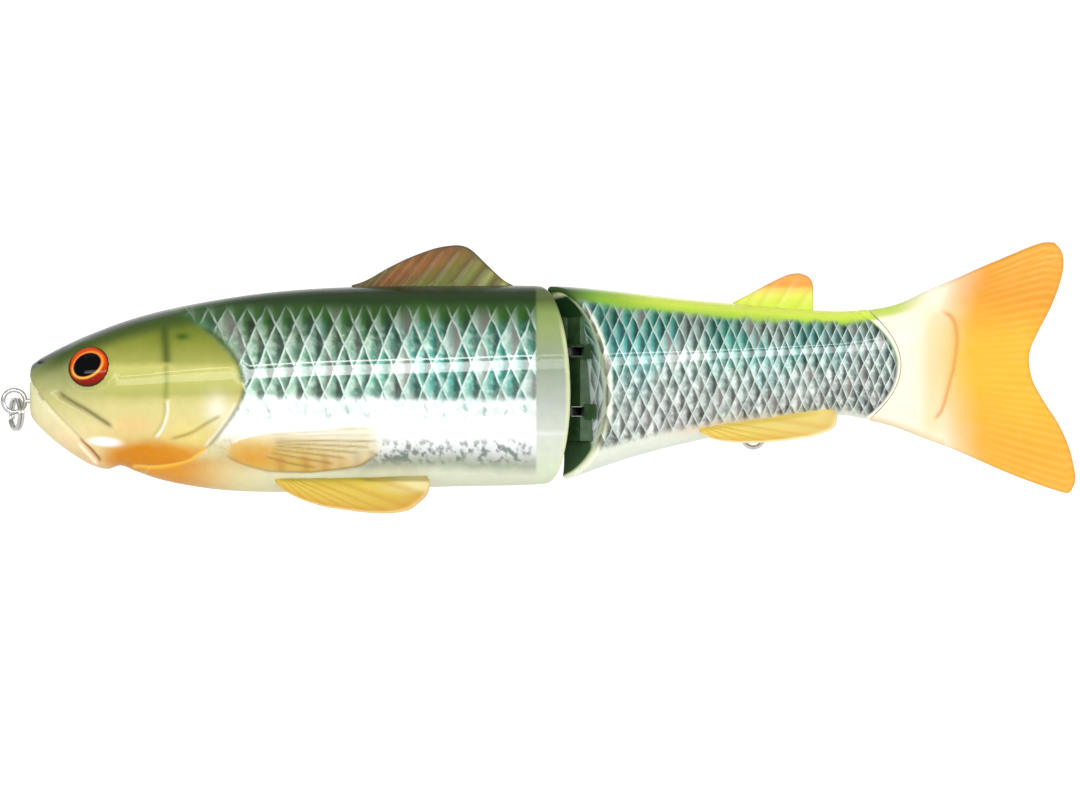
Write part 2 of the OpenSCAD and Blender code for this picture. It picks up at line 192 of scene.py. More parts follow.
def step(points, x, z, width, reach):
    """A raised lip on the left hand of a line: 1 at the line, falling to 0 over reach."""
    d, s, side = line_field(points, x, z)
    ends = smooth(0, 0.15, s) * (1 - smooth(0.85, 1, s))
    return smooth(-width, width, d * side) * (1 - smooth(0, reach, d)) * ends


# ---------------------------------------------------------------- relief lines, side view
MOUTH = [(2.6, 6.4), (5.0, 3.2), (7.8, -0.4), (11, -4), (14.2, -7.2), (16.3, -9.2),
         (18.8, -12), (21, -14.6)]
MAXILLA = [(10.5, 2.3), (13.4, 0.3), (17.4, -2), (20.8, -4.2), (24.4, -6.6)]
CHEEK = [(36.4, 0.6), (36.4, -2.6), (35.4, -6), (33.2, -9)]
OPERCLE = [(37.2, -9.2), (42.6, -7.6), (46.3, -5.4), (50.2, -3.2)]
GILL = [(55.2, 3.5), (54.6, 0.2), (52.2, -4), (49.2, -8), (46.4, -11.2), (42.6, -13.8),
        (38.4, -15.2), (33.4, -15.8), (28, -15.6)]
SHOULDER = [(45, 18), (48.4, 15.6), (51.6, 12.4), (54.2, 8.4), (55.2, 3.5)]
HEAD_EDGE = [(-22, 30), (-15.8, 33), (-13.8, 42.6), (-11.2, 46.4), (-8, 49.2), (-4, 52.2),
             (0.2, 54.6), (3.5, 55.2), (8.4, 54.2), (12.4, 51.6), (15.6, 48.4), (18, 45),
             (22, 38), (28, 30)]
FIN_RAYS = [
    [(60, -8.0), (72, -7.2), (86, -6.4)],
    [(60.4, -8.7), (73, -8.2), (87, -8.0)],
    [(61, -9.3), (74, -9.3), (88, -9.5)],
    [(61.4, -9.9), (73, -10.3), (86, -10.9)],
    [(61.6, -10.5), (72, -11.3), (83, -12.2)],
    [(61.4, -11.2), (71, -12.4), (80, -13.5)],
    [(60.8, -12), (69, -13.5), (77, -14.8)],
    [(60, -12.9), (66, -14.6), (73, -15.8)],
]
FIN_LOWER_EDGE = [(50, -12.4), (54, -14.6), (61, -16.6), (71, -16.9), (82.5, -15.4),
                  (88, -11.6)]


# ---------------------------------------------------------------- colour helpers
def srgb(r, g, b):
    """Linear colour from 0-255 display values."""
    c = np.array([r, g, b], float) / 255
    return np.where(c <= 0.04045, c / 12.92, ((c + 0.055) / 1.055) ** 2.4)


def ramp(v, stops):
    """Colour along given (value, (r, g, b)) stops, blended in linear light."""
    keys = [s[0] for s in stops]
    cols = np.array([srgb(*s[1]) for s in stops])
    return np.stack([np.interp(v, keys, cols[:, k]) for k in range(3)], -1)


def over(base, colour, mask):
    """Lays a flat display colour, or an array of linear ones, over base."""
    c = srgb(*colour) if isinstance(colour, tuple) else colour
    m = np.asarray(mask)[..., None]
    return base * (1 - m) + c * m


def value_noise(x, z, size, seed):
    """Smooth repeatable noise in 0..1."""
    def corner(i, j):
        h = np.sin(i * 127.1 + j * 311.7 + seed * 74.7) * 43758.5453
        return h - np.floor(h)
    u, v = x / size, z / size
    i, j = np.floor(u), np.floor(v)
    a, b = smooth(0, 1, u - i), smooth(0, 1, v - j)
    return ((corner(i, j) * (1 - a) + corner(i + 1, j) * a) * (1 - b)
            + (corner(i, j + 1) * (1 - a) + corner(i + 1, j + 1) * a) * b)


def mottle(x, z, size, seed=0):
    return (value_noise(x, z, size, seed) * 0.55 + value_noise(x, z, size / 2.3, seed + 3) * 0.3
            + value_noise(x, z, size / 5.1, seed + 7) * 0.15)


# ---------------------------------------------------------------- mesh helpers
def new_object(name, verts, faces, smooth_faces=True):
    mesh = bpy.data.meshes.new(name)
    mesh.from_pydata((np.asarray(verts) * MM).tolist(), [], faces)
    mesh.polygons.foreach_set("use_smooth", [smooth_faces] * len(mesh.polygons))
    mesh.update()
    obj = bpy.data.objects.new(name, mesh)
    bpy.context.collection.objects.link(obj)
    return obj


def set_vector(obj, name, values):
    a = obj.data.attributes.new(name, "FLOAT_VECTOR", "POINT")
    a.data.foreach_set("vector", np.asarray(values, np.float32).ravel())


def set_colour(obj, name, values):
    v = np.asarray(values, np.float32)
    v = np.concatenate([v, np.ones((len(v), 1), np.float32)], 1)
    a = obj.data.color_attributes.new(name, "FLOAT_COLOR", "POINT")
    a.data.foreach_set("color", v.ravel())


def grid_faces(rows, cols, start=0, flip=False):
    i, j = np.meshgrid(np.arange(rows - 1), np.arange(cols - 1), indexing="ij")
    a = (start + i * cols + j).ravel()
    f = np.stack([a, a + 1, a + cols + 1, a + cols], 1)
    return (f[:, ::-1] if flip else f).tolist()


def outward(obj):
    bm = bmesh.new()
    bm.from_mesh(obj.data)
    bmesh.ops.recalc_face_normals(bm, faces=bm.faces)
    bm.to_mesh(obj.data)
    bm.free()


def weld(obj):
    """Joins touching points, drops faces with no area and turns the rest outwards."""
    bm = bmesh.new()
    bm.from_mesh(obj.data)
    bmesh.ops.remove_doubles(bm, verts=bm.verts, dist=1e-6)
    bmesh.ops.dissolve_degenerate(bm, edges=bm.edges, dist=1e-7)
    bmesh.ops.recalc_face_normals(bm, faces=bm.faces)
    bm.to_mesh(obj.data)
    bm.free()


def sharpen(obj, degrees):
    obj.data.set_sharp_from_angle(angle=math.radians(degrees))


def eye_axes(side):
    """Outward, rearward and upward directions of an eye, on the side at +Y (1) or -Y (-1)."""
    ct, st = math.cos(EYE_TURN), math.sin(EYE_TURN)
    ce, se = math.cos(EYE_TILT), math.sin(EYE_TILT)
    out = Vector((-st, ct * ce, ct * se))
    back = Vector((ct, st * ce, st * se))
    up = out.cross(back)
    if up.z < 0:
        up = -up
    flip = Vector((1, side, 1))
    return out * flip, back * flip, up * flip


def lathe(name, profile, steps, centre, out, right, up):
    """Turned solid: profile is (radius, height) from the axis at the back to the axis at
    the front."""
    verts, faces = [], []
    inner = [p for p in profile if p[0] > 1e-6]
    for r, h in inner:
        for k in range(steps):
            a = 2 * math.pi * k / steps
            verts.append(centre + out * h + right * (r * math.cos(a)) + up * (r * math.sin(a)))
    n = len(inner)
    for i in range(n - 1):
        for k in range(steps):
            k2 = (k + 1) % steps
            faces.append((i * steps + k, i * steps + k2, (i + 1) * steps + k2, (i + 1) * steps + k))
    for row, h in ((0, profile[0][1]), (n - 1, profile[-1][1])):
        verts.append(centre + out * h)
        c = len(verts) - 1
        for k in range(steps):
            faces.append((row * steps + k, row * steps + (k + 1) % steps, c))
    obj = new_object(name, [tuple(v) for v in verts], faces)
    outward(obj)
    return obj


def tube(name, path, radius, sides=14, closed=False):
    """Round wire along a path of points, with rounded ends where it is open."""
    p = np.array(path, float)
    n = len(p)
    tang = np.roll(p, -1, 0) - np.roll(p, 1, 0) if closed else np.gradient(p, axis=0)
    tang /= np.linalg.norm(tang, axis=1)[:, None]
    side = np.cross(tang[0], (0.3, 0.9, 0.2))
    side /= np.linalg.norm(side)
    verts, faces = [], []
    for i in range(n):
        side = side - tang[i] * side.dot(tang[i])
        side /= np.linalg.norm(side)
        other = np.cross(tang[i], side)
        r = radius
        if not closed and i in (0, n - 1):
            r = radius * 0.55
        for k in range(sides):
            a = 2 * math.pi * k / sides
            verts.append(p[i] + (side * math.cos(a) + other * math.sin(a)) * r)
    for i in range(n if closed else n - 1):
        i2 = (i + 1) % n
        for k in range(sides):
            k2 = (k + 1) % sides
            faces.append((i * sides + k, i * sides + k2, i2 * sides + k2, i2 * sides + k))
    if not closed:
        faces.append(tuple(range(sides)))
        faces.append(tuple(range((n - 1) * sides, n * sides)))
    obj = new_object(name, verts, faces)
    outward(obj)
    return obj


# ---------------------------------------------------------------- half bodies
def half_body(name, side, start, end, cols, rows, relief, paint, lattice, cap_steps, round_end):
    """One moulded half: a grid over the flank, gridded end faces and a flat parting face.
    relief(x, z, arc) is the height above the plain flank, paint gives colours and finish,
    lattice gives the scale pattern's coordinates and strength."""
    t = np.linspace(0, math.pi, rows)
    t = t - 0.12 * np.sin(2 * t)
    t[0], t[-1] = 1e-4, math.pi - 1e-4
    x0, x1 = np.full(rows, float(start(0, 0))), np.full(rows, float(end(0, 0)))
    for _ in range(8):
        y, z = section(x0, t)
        x0 = start(y, z)
        y, z = section(x1, t)
        x1 = end(y, z)
    u = np.linspace(0, 1, cols)
    u = u - 0.06 * np.sin(2 * math.pi * u)
    X = x0[None, :] + (x1 - x0)[None, :] * u[:, None]
    T = np.broadcast_to(t[None, :], X.shape)
    Y, Z = section(X, T)
    P = np.stack([X, Y, Z], -1)
    du = np.gradient(P, axis=0)
    dt = np.gradient(P, axis=1)
    N = np.cross(du, dt)
    N /= np.maximum(np.linalg.norm(N, axis=-1), 1e-9)[..., None]
    N[..., 1] = np.where((N[..., 1] < 0), 0, N[..., 1])
    arc = np.concatenate([np.zeros((cols, 1)),
                          np.cumsum(np.hypot(np.diff(Y, axis=1), np.diff(Z, axis=1)), 1)], 1)
    mid = np.argmin(np.abs(T - math.pi / 2), 1)
    arc = np.take_along_axis(arc, mid[:, None], 1) - arc
    d0, d1 = X - x0[None, :], x1[None, :] - X
    h = relief(X, Z, arc)
    for d, r in ((d0, round_end[0]), (d1, round_end[1])):
        if r > 0:
            h = h - (r - np.sqrt(np.maximum(r * r - np.clip(r - d, 0, r) ** 2, 0)))
    Q = P + N * h[..., None]
    Q[:, 0, 1] = Q[:, -1, 1] = 0
    Q[..., 1] = np.maximum(Q[..., 1], 0)
    verts = [Q.reshape(-1, 3)]
    side_x, side_z, side_arc = [X.ravel()], [Z.ravel()], [arc.ravel()]
    inset = [np.zeros(X.size)]
    faces = grid_faces(cols, rows)
    count = cols * rows
    cap_flag = [np.zeros(count)]
    chords = []
    for col, end_rule in ((0, start), (cols - 1, end)):
        edge = Q[col]
        foot = edge.copy()
        foot[:, 1] = 0
        slope = float(end_rule(1.0, 0.0) - end_rule(0.0, 0.0))
        foot[:, 0] = edge[:, 0] - slope * edge[:, 1]
        v = np.linspace(0, 1, cap_steps + 1)[1:]
        pts = edge[None] * (1 - v[:, None, None]) + foot[None] * v[:, None, None]
        pts = pts[:, 1:-1]
        ids = np.arange(pts.shape[0] * pts.shape[1]).reshape(pts.shape[:2]) + count
        full = np.concatenate([np.arange(col * rows, (col + 1) * rows)[None, 1:-1], ids], 0)
        first, last = col * rows, col * rows + rows - 1
        flip = col != 0
        for k in range(full.shape[0] - 1):
            for j in range(full.shape[1] - 1):
                f = (full[k, j], full[k, j + 1], full[k + 1, j + 1], full[k + 1, j])
                faces.append(tuple(int(q) for q in (f[::-1] if flip else f)))
        for tip, j in ((first, 0), (last, -1)):
            fan = [tip] + [int(q) for q in full[:, j]]
            faces.append(tuple(fan if (j == 0) == flip else fan[::-1]))
        verts.append(pts.reshape(-1, 3))
        depth = (v[:, None] * edge[None, 1:-1, 1]).ravel()
        ex = np.broadcast_to(edge[None, 1:-1, 0], pts.shape[:2]).ravel()
        side_x.append(ex - 1.6 * depth if col else ex + 1.6 * depth)
        side_z.append(pts[..., 2].ravel())
        side_arc.append(np.broadcast_to(arc[col][None, 1:-1], pts.shape[:2]).ravel())
        inset.append(depth)
        cap_flag.append(np.full(len(depth), 1.0 if col == 0 else 2.0))
        chords.append([int(q) for q in full[-1]])
        count += len(depth)
    top = [i * rows for i in range(cols)]
    bottom = [i * rows + rows - 1 for i in range(cols)]
    faces.append(tuple(top + chords[1] + bottom[::-1] + chords[0][::-1]))
    V = np.concatenate(verts)
    V[:, 1] *= side
    x, z, a = (np.concatenate(q) for q in (side_x, side_z, side_arc))
    caps, deep = np.concatenate(cap_flag), np.concatenate(inset)
    obj = new_object(name, V, faces)
    outward(obj)
    colours, finish = paint(x, z, a, caps, np.abs(V[:, 1]), deep)
    set_colour(obj, "paint", np.clip(colours, 0, 1))
    set_vector(obj, "finish", finish)
    set_vector(obj, "lattice", lattice(x, z, a, caps, np.abs(V[:, 1]), deep))
    return obj


def carve(obj, cutter):
    """Cuts a closed shape out of obj and removes the cutter."""
    m = obj.modifiers.new("cut", "BOOLEAN")
    m.operation, m.solver, m.object = "DIFFERENCE", "EXACT", cutter
    deps = bpy.context.evaluated_depsgraph_get()
    mesh = bpy.data.meshes.new_from_object(obj.evaluated_get(deps))
    old = obj.data
    obj.modifiers.clear()
    obj.data = mesh
    mesh.name = old.name
    bpy.data.meshes.remove(old)
    bpy.data.objects.remove(cutter)


# ---------------------------------------------------------------- front body
def head_share(x, z):
    """1 on the head, 0 behind the gill opening; the border is soft on the shoulder."""
    soft = 0.5 + 2.5 * smooth(7, 14, z)
    return 1 - smooth(-soft, soft, x - curve(HEAD_EDGE, z))


def front_relief(X, Z, arc):
    h = -0.6 * groove(MOUTH, X, Z, 0.5, 0.05)
    h += 0.55 * step(MOUTH[:7], X, Z, 0.35, 5)
    h += -0.5 * groove(MAXILLA, X, Z, 0.7)
    h += 0.25 * step(MAXILLA, X, Z, 0.6, 5)
    h += -0.4 * groove(CHEEK, X, Z, 0.5) - 0.4 * groove(OPERCLE, X, Z, 0.5)
    h += 0.3 * groove(shifted(CHEEK, 1.0), X, Z, 0.55)
    h += 0.25 * groove(shifted(OPERCLE, 0, 1.0), X, Z, 0.7)
    h += -0.6 * groove(GILL, X, Z, 0.55, 0.06)
    head = head_share(X, Z)
    h += 0.35 * head * smooth(26, 36, X) * smooth(-19, -12, Z) * (1 - smooth(8, 16, Z))
    h += -0.2 * groove(SHOULDER, X, Z, 0.9)
    h += -0.12 * groove([(36.6, 17), (36.9, 12), (36.6, 7.5)], X, Z, 0.6)
    h += -0.35 * spot(X, Z, 6.2, 9.1, 0.9, 0.5)
    eye = np.hypot(X - EYE_AT.x, Z - EYE_AT.z)
    h += 0.22 * np.exp(-(((eye - 5.9) / 0.8) ** 2))
    fin = pectoral_share(X, Z)
    h += 0.55 * fin
    for ray in FIN_RAYS:
        h += -0.24 * groove(ray, X, Z, 0.34)
    h += -0.25 * groove(FIN_LOWER_EDGE, X, Z, 0.55)
    scales = (1 - head) * (1 - smooth(124, 125, X)) * (1 - fin)
    h += 0.05 * scales
    h += -0.16 * np.exp(-((X - 124.9) / 0.35) ** 2) * band(-15, 22, 1.5, Z)
    return h


def pectoral_share(x, z):
    """1 on the moulded pectoral fin."""
    low = np.interp(x, [50, 54, 61, 71, 82.5, 88], [-12.4, -14.6, -16.6, -16.9, -15.4, -11.6])
    high = np.interp(x, [50, 55, 60, 72, 84, 90], [-11.6, -8.6, -7.4, -6.6, -5.4, -6])
    return (smooth(-0.5, 0.5, z - low) * (1 - smooth(-0.5, 0.5, z - high))
            * smooth(50, 53, x) * (1 - smooth(84, 90, x)))


def flank_colours(x, z, arc, caps, y, n, fine):
    """Scales, glare, specks and belly, with the clear rim behind them."""
    # the near-white stops from z -12 to 0.3 are the lower flank's own pale colour, pushed up to
    # white as a painted glare
    flank = ramp(z + (n - 0.5) * 2.2, [
        (-22, (214, 218, 190)), (-17.5, (214, 218, 194)), (-15.2, (168, 176, 156)),
        (-13.6, (188, 194, 182)),
        (-12, (226, 230, 228)), (-9, (252, 253, 253)), (-2, (250, 253, 252)),
        (0.3, (240, 250, 246)), (1.5, (96, 150, 134)), (6, (88, 160, 142)),
        (12, (66, 148, 122)), (15.5, (58, 132, 90)), (18.5, (48, 104, 36)),
        # the grey stop at 27.5 is a painted highlight along the crest of the back
        (21.5, (40, 82, 12)), (24, (26, 56, 6)), (25.9, (34, 52, 20)), (27.5, (80, 86, 74))])
    tiny = mottle(x + 0.6 * z, 0.8 * z - 0.5 * x, 1.05, 23)
    specks = smooth(0.47, 0.64, tiny) * smooth(0.2, 0.5, fine) * band(-14.6, -9.4, 1.4, z)
    flank = over(flank, (92, 108, 98), 0.8 * specks * (1 - smooth(122, 124.5, x)))
    p, q = FRONT_SCALE
    u, v = (x / p + arc / q) % 1, (x / p - arc / q) % 1
    cell = smooth(0.75, 1.3, u + v) * smooth(0.1, 0.2, 1 - np.maximum(u, v))
    low = smooth(-5.5, -2.5, z) * smooth(1.8, 0.6, z)
    broken = np.maximum(cell, 0.45) * smooth(0.42, 0.62, tiny) * low
    flank = over(flank, (96, 150, 138), 0.7 * broken)
    sea = smooth(0.55, 0.75, value_noise(x, z * 0.4, 9, 21))
    flank = over(flank, (96, 180, 176), 0.35 * sea * band(1, 18, 2, z))
    pale = smooth(0.6, 0.8, value_noise(x, z * 0.2, 6.5, 33))
    flank = over(flank, (196, 200, 188), 0.45 * pale * band(1, 15, 2, z))
    front = 1 - smooth(70, 96, x)
    flank = over(flank, (190, 192, 158), 0.3 * front * band(1, 17, 2, z))
    flank = over(flank, (36, 92, 70), 0.2 * (1 - front) * band(1, 17, 2, z))
    foil = band(1, 17, 2, z)
    flank = over(flank, (206, 224, 208), 0.4 * smooth(0.5, 0.64, tiny) * foil)
    flank = over(flank, (48, 100, 82), 0.35 * smooth(0.44, 0.3, tiny) * foil)
    plain = ramp(z, [(-20, (214, 224, 190)), (-8, (206, 212, 200)), (0, (176, 184, 172)),
                     (8, (146, 160, 136)), (13, (146, 160, 122)), (17, (146, 162, 104)),
                     # the grey stop at 27.4 is a painted highlight along the crest of the back
                     (21, (134, 156, 88)), (24, (84, 102, 46)), (27.4, (96, 106, 76))])
    # thin near-white line on the plain band at z -7.7: a painted highlight
    plain = over(plain, (250, 252, 250), 0.7 * fine * np.exp(-((z + 7.7) / 0.45) ** 2))
    flank = over(flank, plain, smooth(124.2, 124.9, x))
    rim = smooth(1.5, 0.3, groove_end(y, z) - x) * (caps == 0)
    flank = over(flank, (226, 234, 178), 0.8 * rim * (1 - smooth(14, 22, z)))
    return flank


def head_colours(x, z, n):
    """Green crown, olive cheek, pale jaw and orange throat."""
    depth = curve(BACK, x) - z
    head = ramp(z + (n - 0.5) * 1.6, [
        (-17, (206, 176, 96)), (-12, (212, 192, 118)), (-6, (218, 204, 138)),
        (-1, (212, 202, 132)), (0.6, (200, 192, 118)), (1.8, (180, 178, 96)),
        (5.5, (190, 190, 104)), (8, (200, 196, 112)), (9.6, (162, 164, 80)),
        (14, (132, 140, 50)), (18, (96, 112, 26)), (21, (74, 94, 24))])
    snout = ramp(z, [(-16, (228, 196, 140)), (-6, (220, 206, 148)), (0, (196, 190, 124)),
                     (4, (166, 168, 108)), (8, (132, 138, 84)), (13, (92, 108, 54))])
    head = over(head, snout, 1 - smooth(14, 27, x + 0.25 * z))
    head = over(head, (48, 74, 16), 0.85 * smooth(6.2, 2.4, depth) * smooth(3, 13, x))
    # grey line along the crest of the head: a painted highlight
    head = over(head, (98, 102, 98), 0.85 * smooth(2.0, 0.9, depth))
    below_mouth = line_field(MOUTH, x, z)
    jaw = smooth(-0.2, 0.3, -below_mouth[0] * below_mouth[2]) * (1 - smooth(20, 24, x))
    jaw_paint = ramp(z, [(-15, (226, 196, 140)), (-9, (236, 214, 164)), (-2, (226, 220, 172)),
                         (6, (206, 206, 158))])
    head = over(head, jaw_paint, jaw * (z < 8))
    head = over(head, (240, 186, 120), 0.45 * spot(x, z, 29, -6, 5, 2.6))
    throat = np.exp(-(((x - 34) / 13.5) ** 2 + ((z + 13.4) / 4.1) ** 2) ** 1.8)
    streaks = 0.84 + 0.32 * (value_noise(x * 0.35, z + 0.15 * x, 1.1, 51) - 0.5)
    head = over(head, (208, 130, 0), np.clip(1.35 * throat * streaks, 0, 1) * smooth(19, 23, x))
    head = over(head, (252, 250, 240), 0.6 * spot(x, z, 49, -2, 3, 3.5))
    head = over(head, (232, 212, 120), 0.6 * spot(x, z, 42, -8, 5, 3))
    # white patch on the chin: a painted highlight
    glint = np.exp(-((((x - 22) / 4) ** 2 + ((z + 9.7 + 0.08 * (x - 22)) / 1.15) ** 2) ** 2))
    head = over(head, (253, 251, 248), 0.95 * glint)
    return head


# Lines laid along the head's grooves and beside them: colour, strength, line, width and how far the
# ends fade
HEAD_STROKES = [
    ((246, 240, 206), 0.75, MOUTH[:6], 0.35, 0.05),
    ((252, 244, 220), 0.8, shifted(MOUTH[5:], -0.9, -0.7), 0.35, 0.12),
    ((104, 100, 40), 0.8, MAXILLA, 0.62, 0.12),
    ((104, 112, 56), 0.6, [(5.8, 2.2), (6.7, 0.9), (7.3, 0.1)], 0.3, 0.12),
    ((252, 252, 246), 0.9, shifted(CHEEK, 0.7), 0.34, 0.12),
    ((168, 160, 84), 0.6, CHEEK, 0.3, 0.12),
    ((152, 134, 52), 0.8, OPERCLE, 0.34, 0.12),
    ((126, 126, 82), 0.7, GILL[:5], 0.45, 0.12),
    ((252, 250, 236), 0.7, shifted(GILL[1:5], -0.8), 0.3, 0.12),
    ((250, 196, 70), 0.9, GILL[4:], 0.42, 0.04),
    ((48, 78, 24), 0.75, SHOULDER, 0.8, 0.12),
    ((58, 78, 18), 0.8, [(36, 18.5), (36.6, 13), (37, 8.5)], 1.15, 0.12),
    ((110, 122, 36), 0.5, [(36.8, 9), (36.9, 4), (36.6, 0)], 0.7, 0.12),
]


def head_lines(col, x, z):
    """Mouth, gill cover and cheek lines, with the nostril and the ear spot."""
    dark = np.clip(groove(MOUTH, x, z, 0.4, 0.03) * smooth(14, 17, x), 0, 1)
    col = over(col, (150, 96, 34), 0.9 * dark)
    for colour, strength, line, width, fade in HEAD_STROKES:
        col = over(col, colour, strength * groove(line, x, z, width, fade))
    col = over(col, (46, 88, 10), 0.9 * spot(x, z, 40.5, 15.3, 1.6, 0.9))
    col = over(col, (18, 26, 14), 0.95 * spot(x, z, 6.2, 9.2, 1.0, 0.5))
    return col


def pectoral_colours(col, x, z, fin, fine):
    """The moulded pectoral fin with its bars and rays."""
    fin_col = ramp(z + 0.06 * (x - 60), [(-17, (204, 178, 92)), (-14, (208, 166, 66)),
                                         (-11, (212, 180, 88)), (-8.6, (226, 210, 158)),
                                         (-6, (248, 244, 228))])
    fin_col = over(fin_col, (222, 214, 178), 0.5 * smooth(68, 82, x))
    col = over(col, fin_col, 0.9 * fin)
    blob = spot(x, z, 57.5, -12.6, 5, 3)
    col = over(col, (214, 140, 0), 0.8 * blob * (0.75 + 0.5 * (fine - 0.4)))
    bars = np.zeros_like(x)
    for bx, strength in ((64, 1), (70, 1), (74.5, 0.9), (78.5, 0.5), (82, 0.7), (85.5, 0.6)):
        bars = np.maximum(bars, strength * np.exp(-(((x - bx) / 1.1) ** 2)))
    col = over(col, (186, 130, 58), 0.6 * bars * band(-16.6, -13, 0.5, z) * (x < 80))
    col = over(col, (140, 140, 128), 0.5 * bars * band(-16, -11.5, 0.5, z) * (x >= 80))
    for k, ray in enumerate(FIN_RAYS):
        col = over(col, (150, 128, 70) if k > 1 else (190, 178, 140),
                   (0.75 if k > 1 else 0.5) * groove(ray, x, z, 0.26))
    col = over(col, (176, 140, 70), 0.5 * groove(FIN_LOWER_EDGE, x, z, 0.35))
    return col


def front_paint(x, z, arc, caps, y, deep):
    n = mottle(x, z, 7)
    fine = mottle(x, z, 2.2, 5)
    share, fin = head_share(x, z), pectoral_share(x, z)
    col = over(flank_colours(x, z, arc, caps, y, n, fine), head_colours(x, z, n), share)
    # behind and below the gill cover
    sweep = (1 - share) * (1 - smooth(46, 76, x + (z + 15) * 0.4)) * smooth(-6, -11, z)
    col = over(col, (222, 210, 152), 0.9 * sweep)
    under = (1 - share) * smooth(57, 38, x) * smooth(-12, -15, z)
    col = over(col, (214, 140, 0), 0.92 * under)
    col = pectoral_colours(head_lines(col, x, z), x, z, fin, fine)
    metal = 0.5 * (1 - share) * (1 - fin) * (1 - smooth(124, 125, x)) * (1 - smooth(17, 22, z))
    metal = metal * smooth(-17, -13, z)
    col = np.where((caps == 2)[:, None], srgb(92, 104, 84), col)
    rough = 0.34 + 0.12 * n
    matt = np.maximum(share, smooth(19, 24, z) + smooth(-11.5, -15, z))
    matt = np.maximum(matt, smooth(123.8, 125, x))
    return col, np.stack([np.clip(metal, 0, 1) * (caps == 0), rough, matt], 1)


FRONT_SCALE = (4.65, 11.2)


def front_lattice(x, z, arc, caps, y, deep):
    p, q = FRONT_SCALE
    mask = (1 - head_share(x - 2 * smooth(7, 14, z), z)) * (1 - smooth(124.2, 124.8, x))
    mask = mask * (1 - pectoral_share(x, z))
    mask = mask * (1 - smooth(17.5, 23.5, z)) * (caps == 0)
    mask = mask * smooth(-0.6, 1.2, z)
    return np.stack([x / p + arc / q, x / p - arc / q, mask], 1)


# ---------------------------------------------------------------- rear body
PANEL_LENGTH = 70
PITCH, PITCH_DROP = 3.3, 0.8


def rear_pitch(x):
    """Width and height of a rear scale, smaller towards the tail."""
    s = np.clip((x - 141) / PANEL_LENGTH, -0.3, 1)
    return PITCH - PITCH_DROP * s, 7.6 - 2.4 * s


def panel_end(z):
    return 210.4 - 0.05 * (z - 8) ** 2


def panel_share(x, z):
    """1 on the rear body's scale panel."""
    top = curve(BACK, x) - np.interp(x, [128, 150, 175, 200, 212], [3.5, 4, 3.6, 3.0, 3])
    low = curve(BELLY, x) + np.interp(x, [130, 150, 175, 197, 212], [5, 4.2, 3, 1.2, 1])
    end = panel_end(z)
    top = top + 1.2 * (value_noise(x, z, 2.3, 61) - 0.5)
    return (smooth(-1.0, 1.2, top - z) * smooth(-1.2, 1.2, z - low)
            * smooth(-0.3, 0.5, end - x))


def rear_relief(X, Z, arc):
    panel = panel_share(X, Z)
    h = 0.06 * panel
    h += -0.18 * np.exp(-(((X - panel_end(Z)) / 0.5) ** 2))
    return h


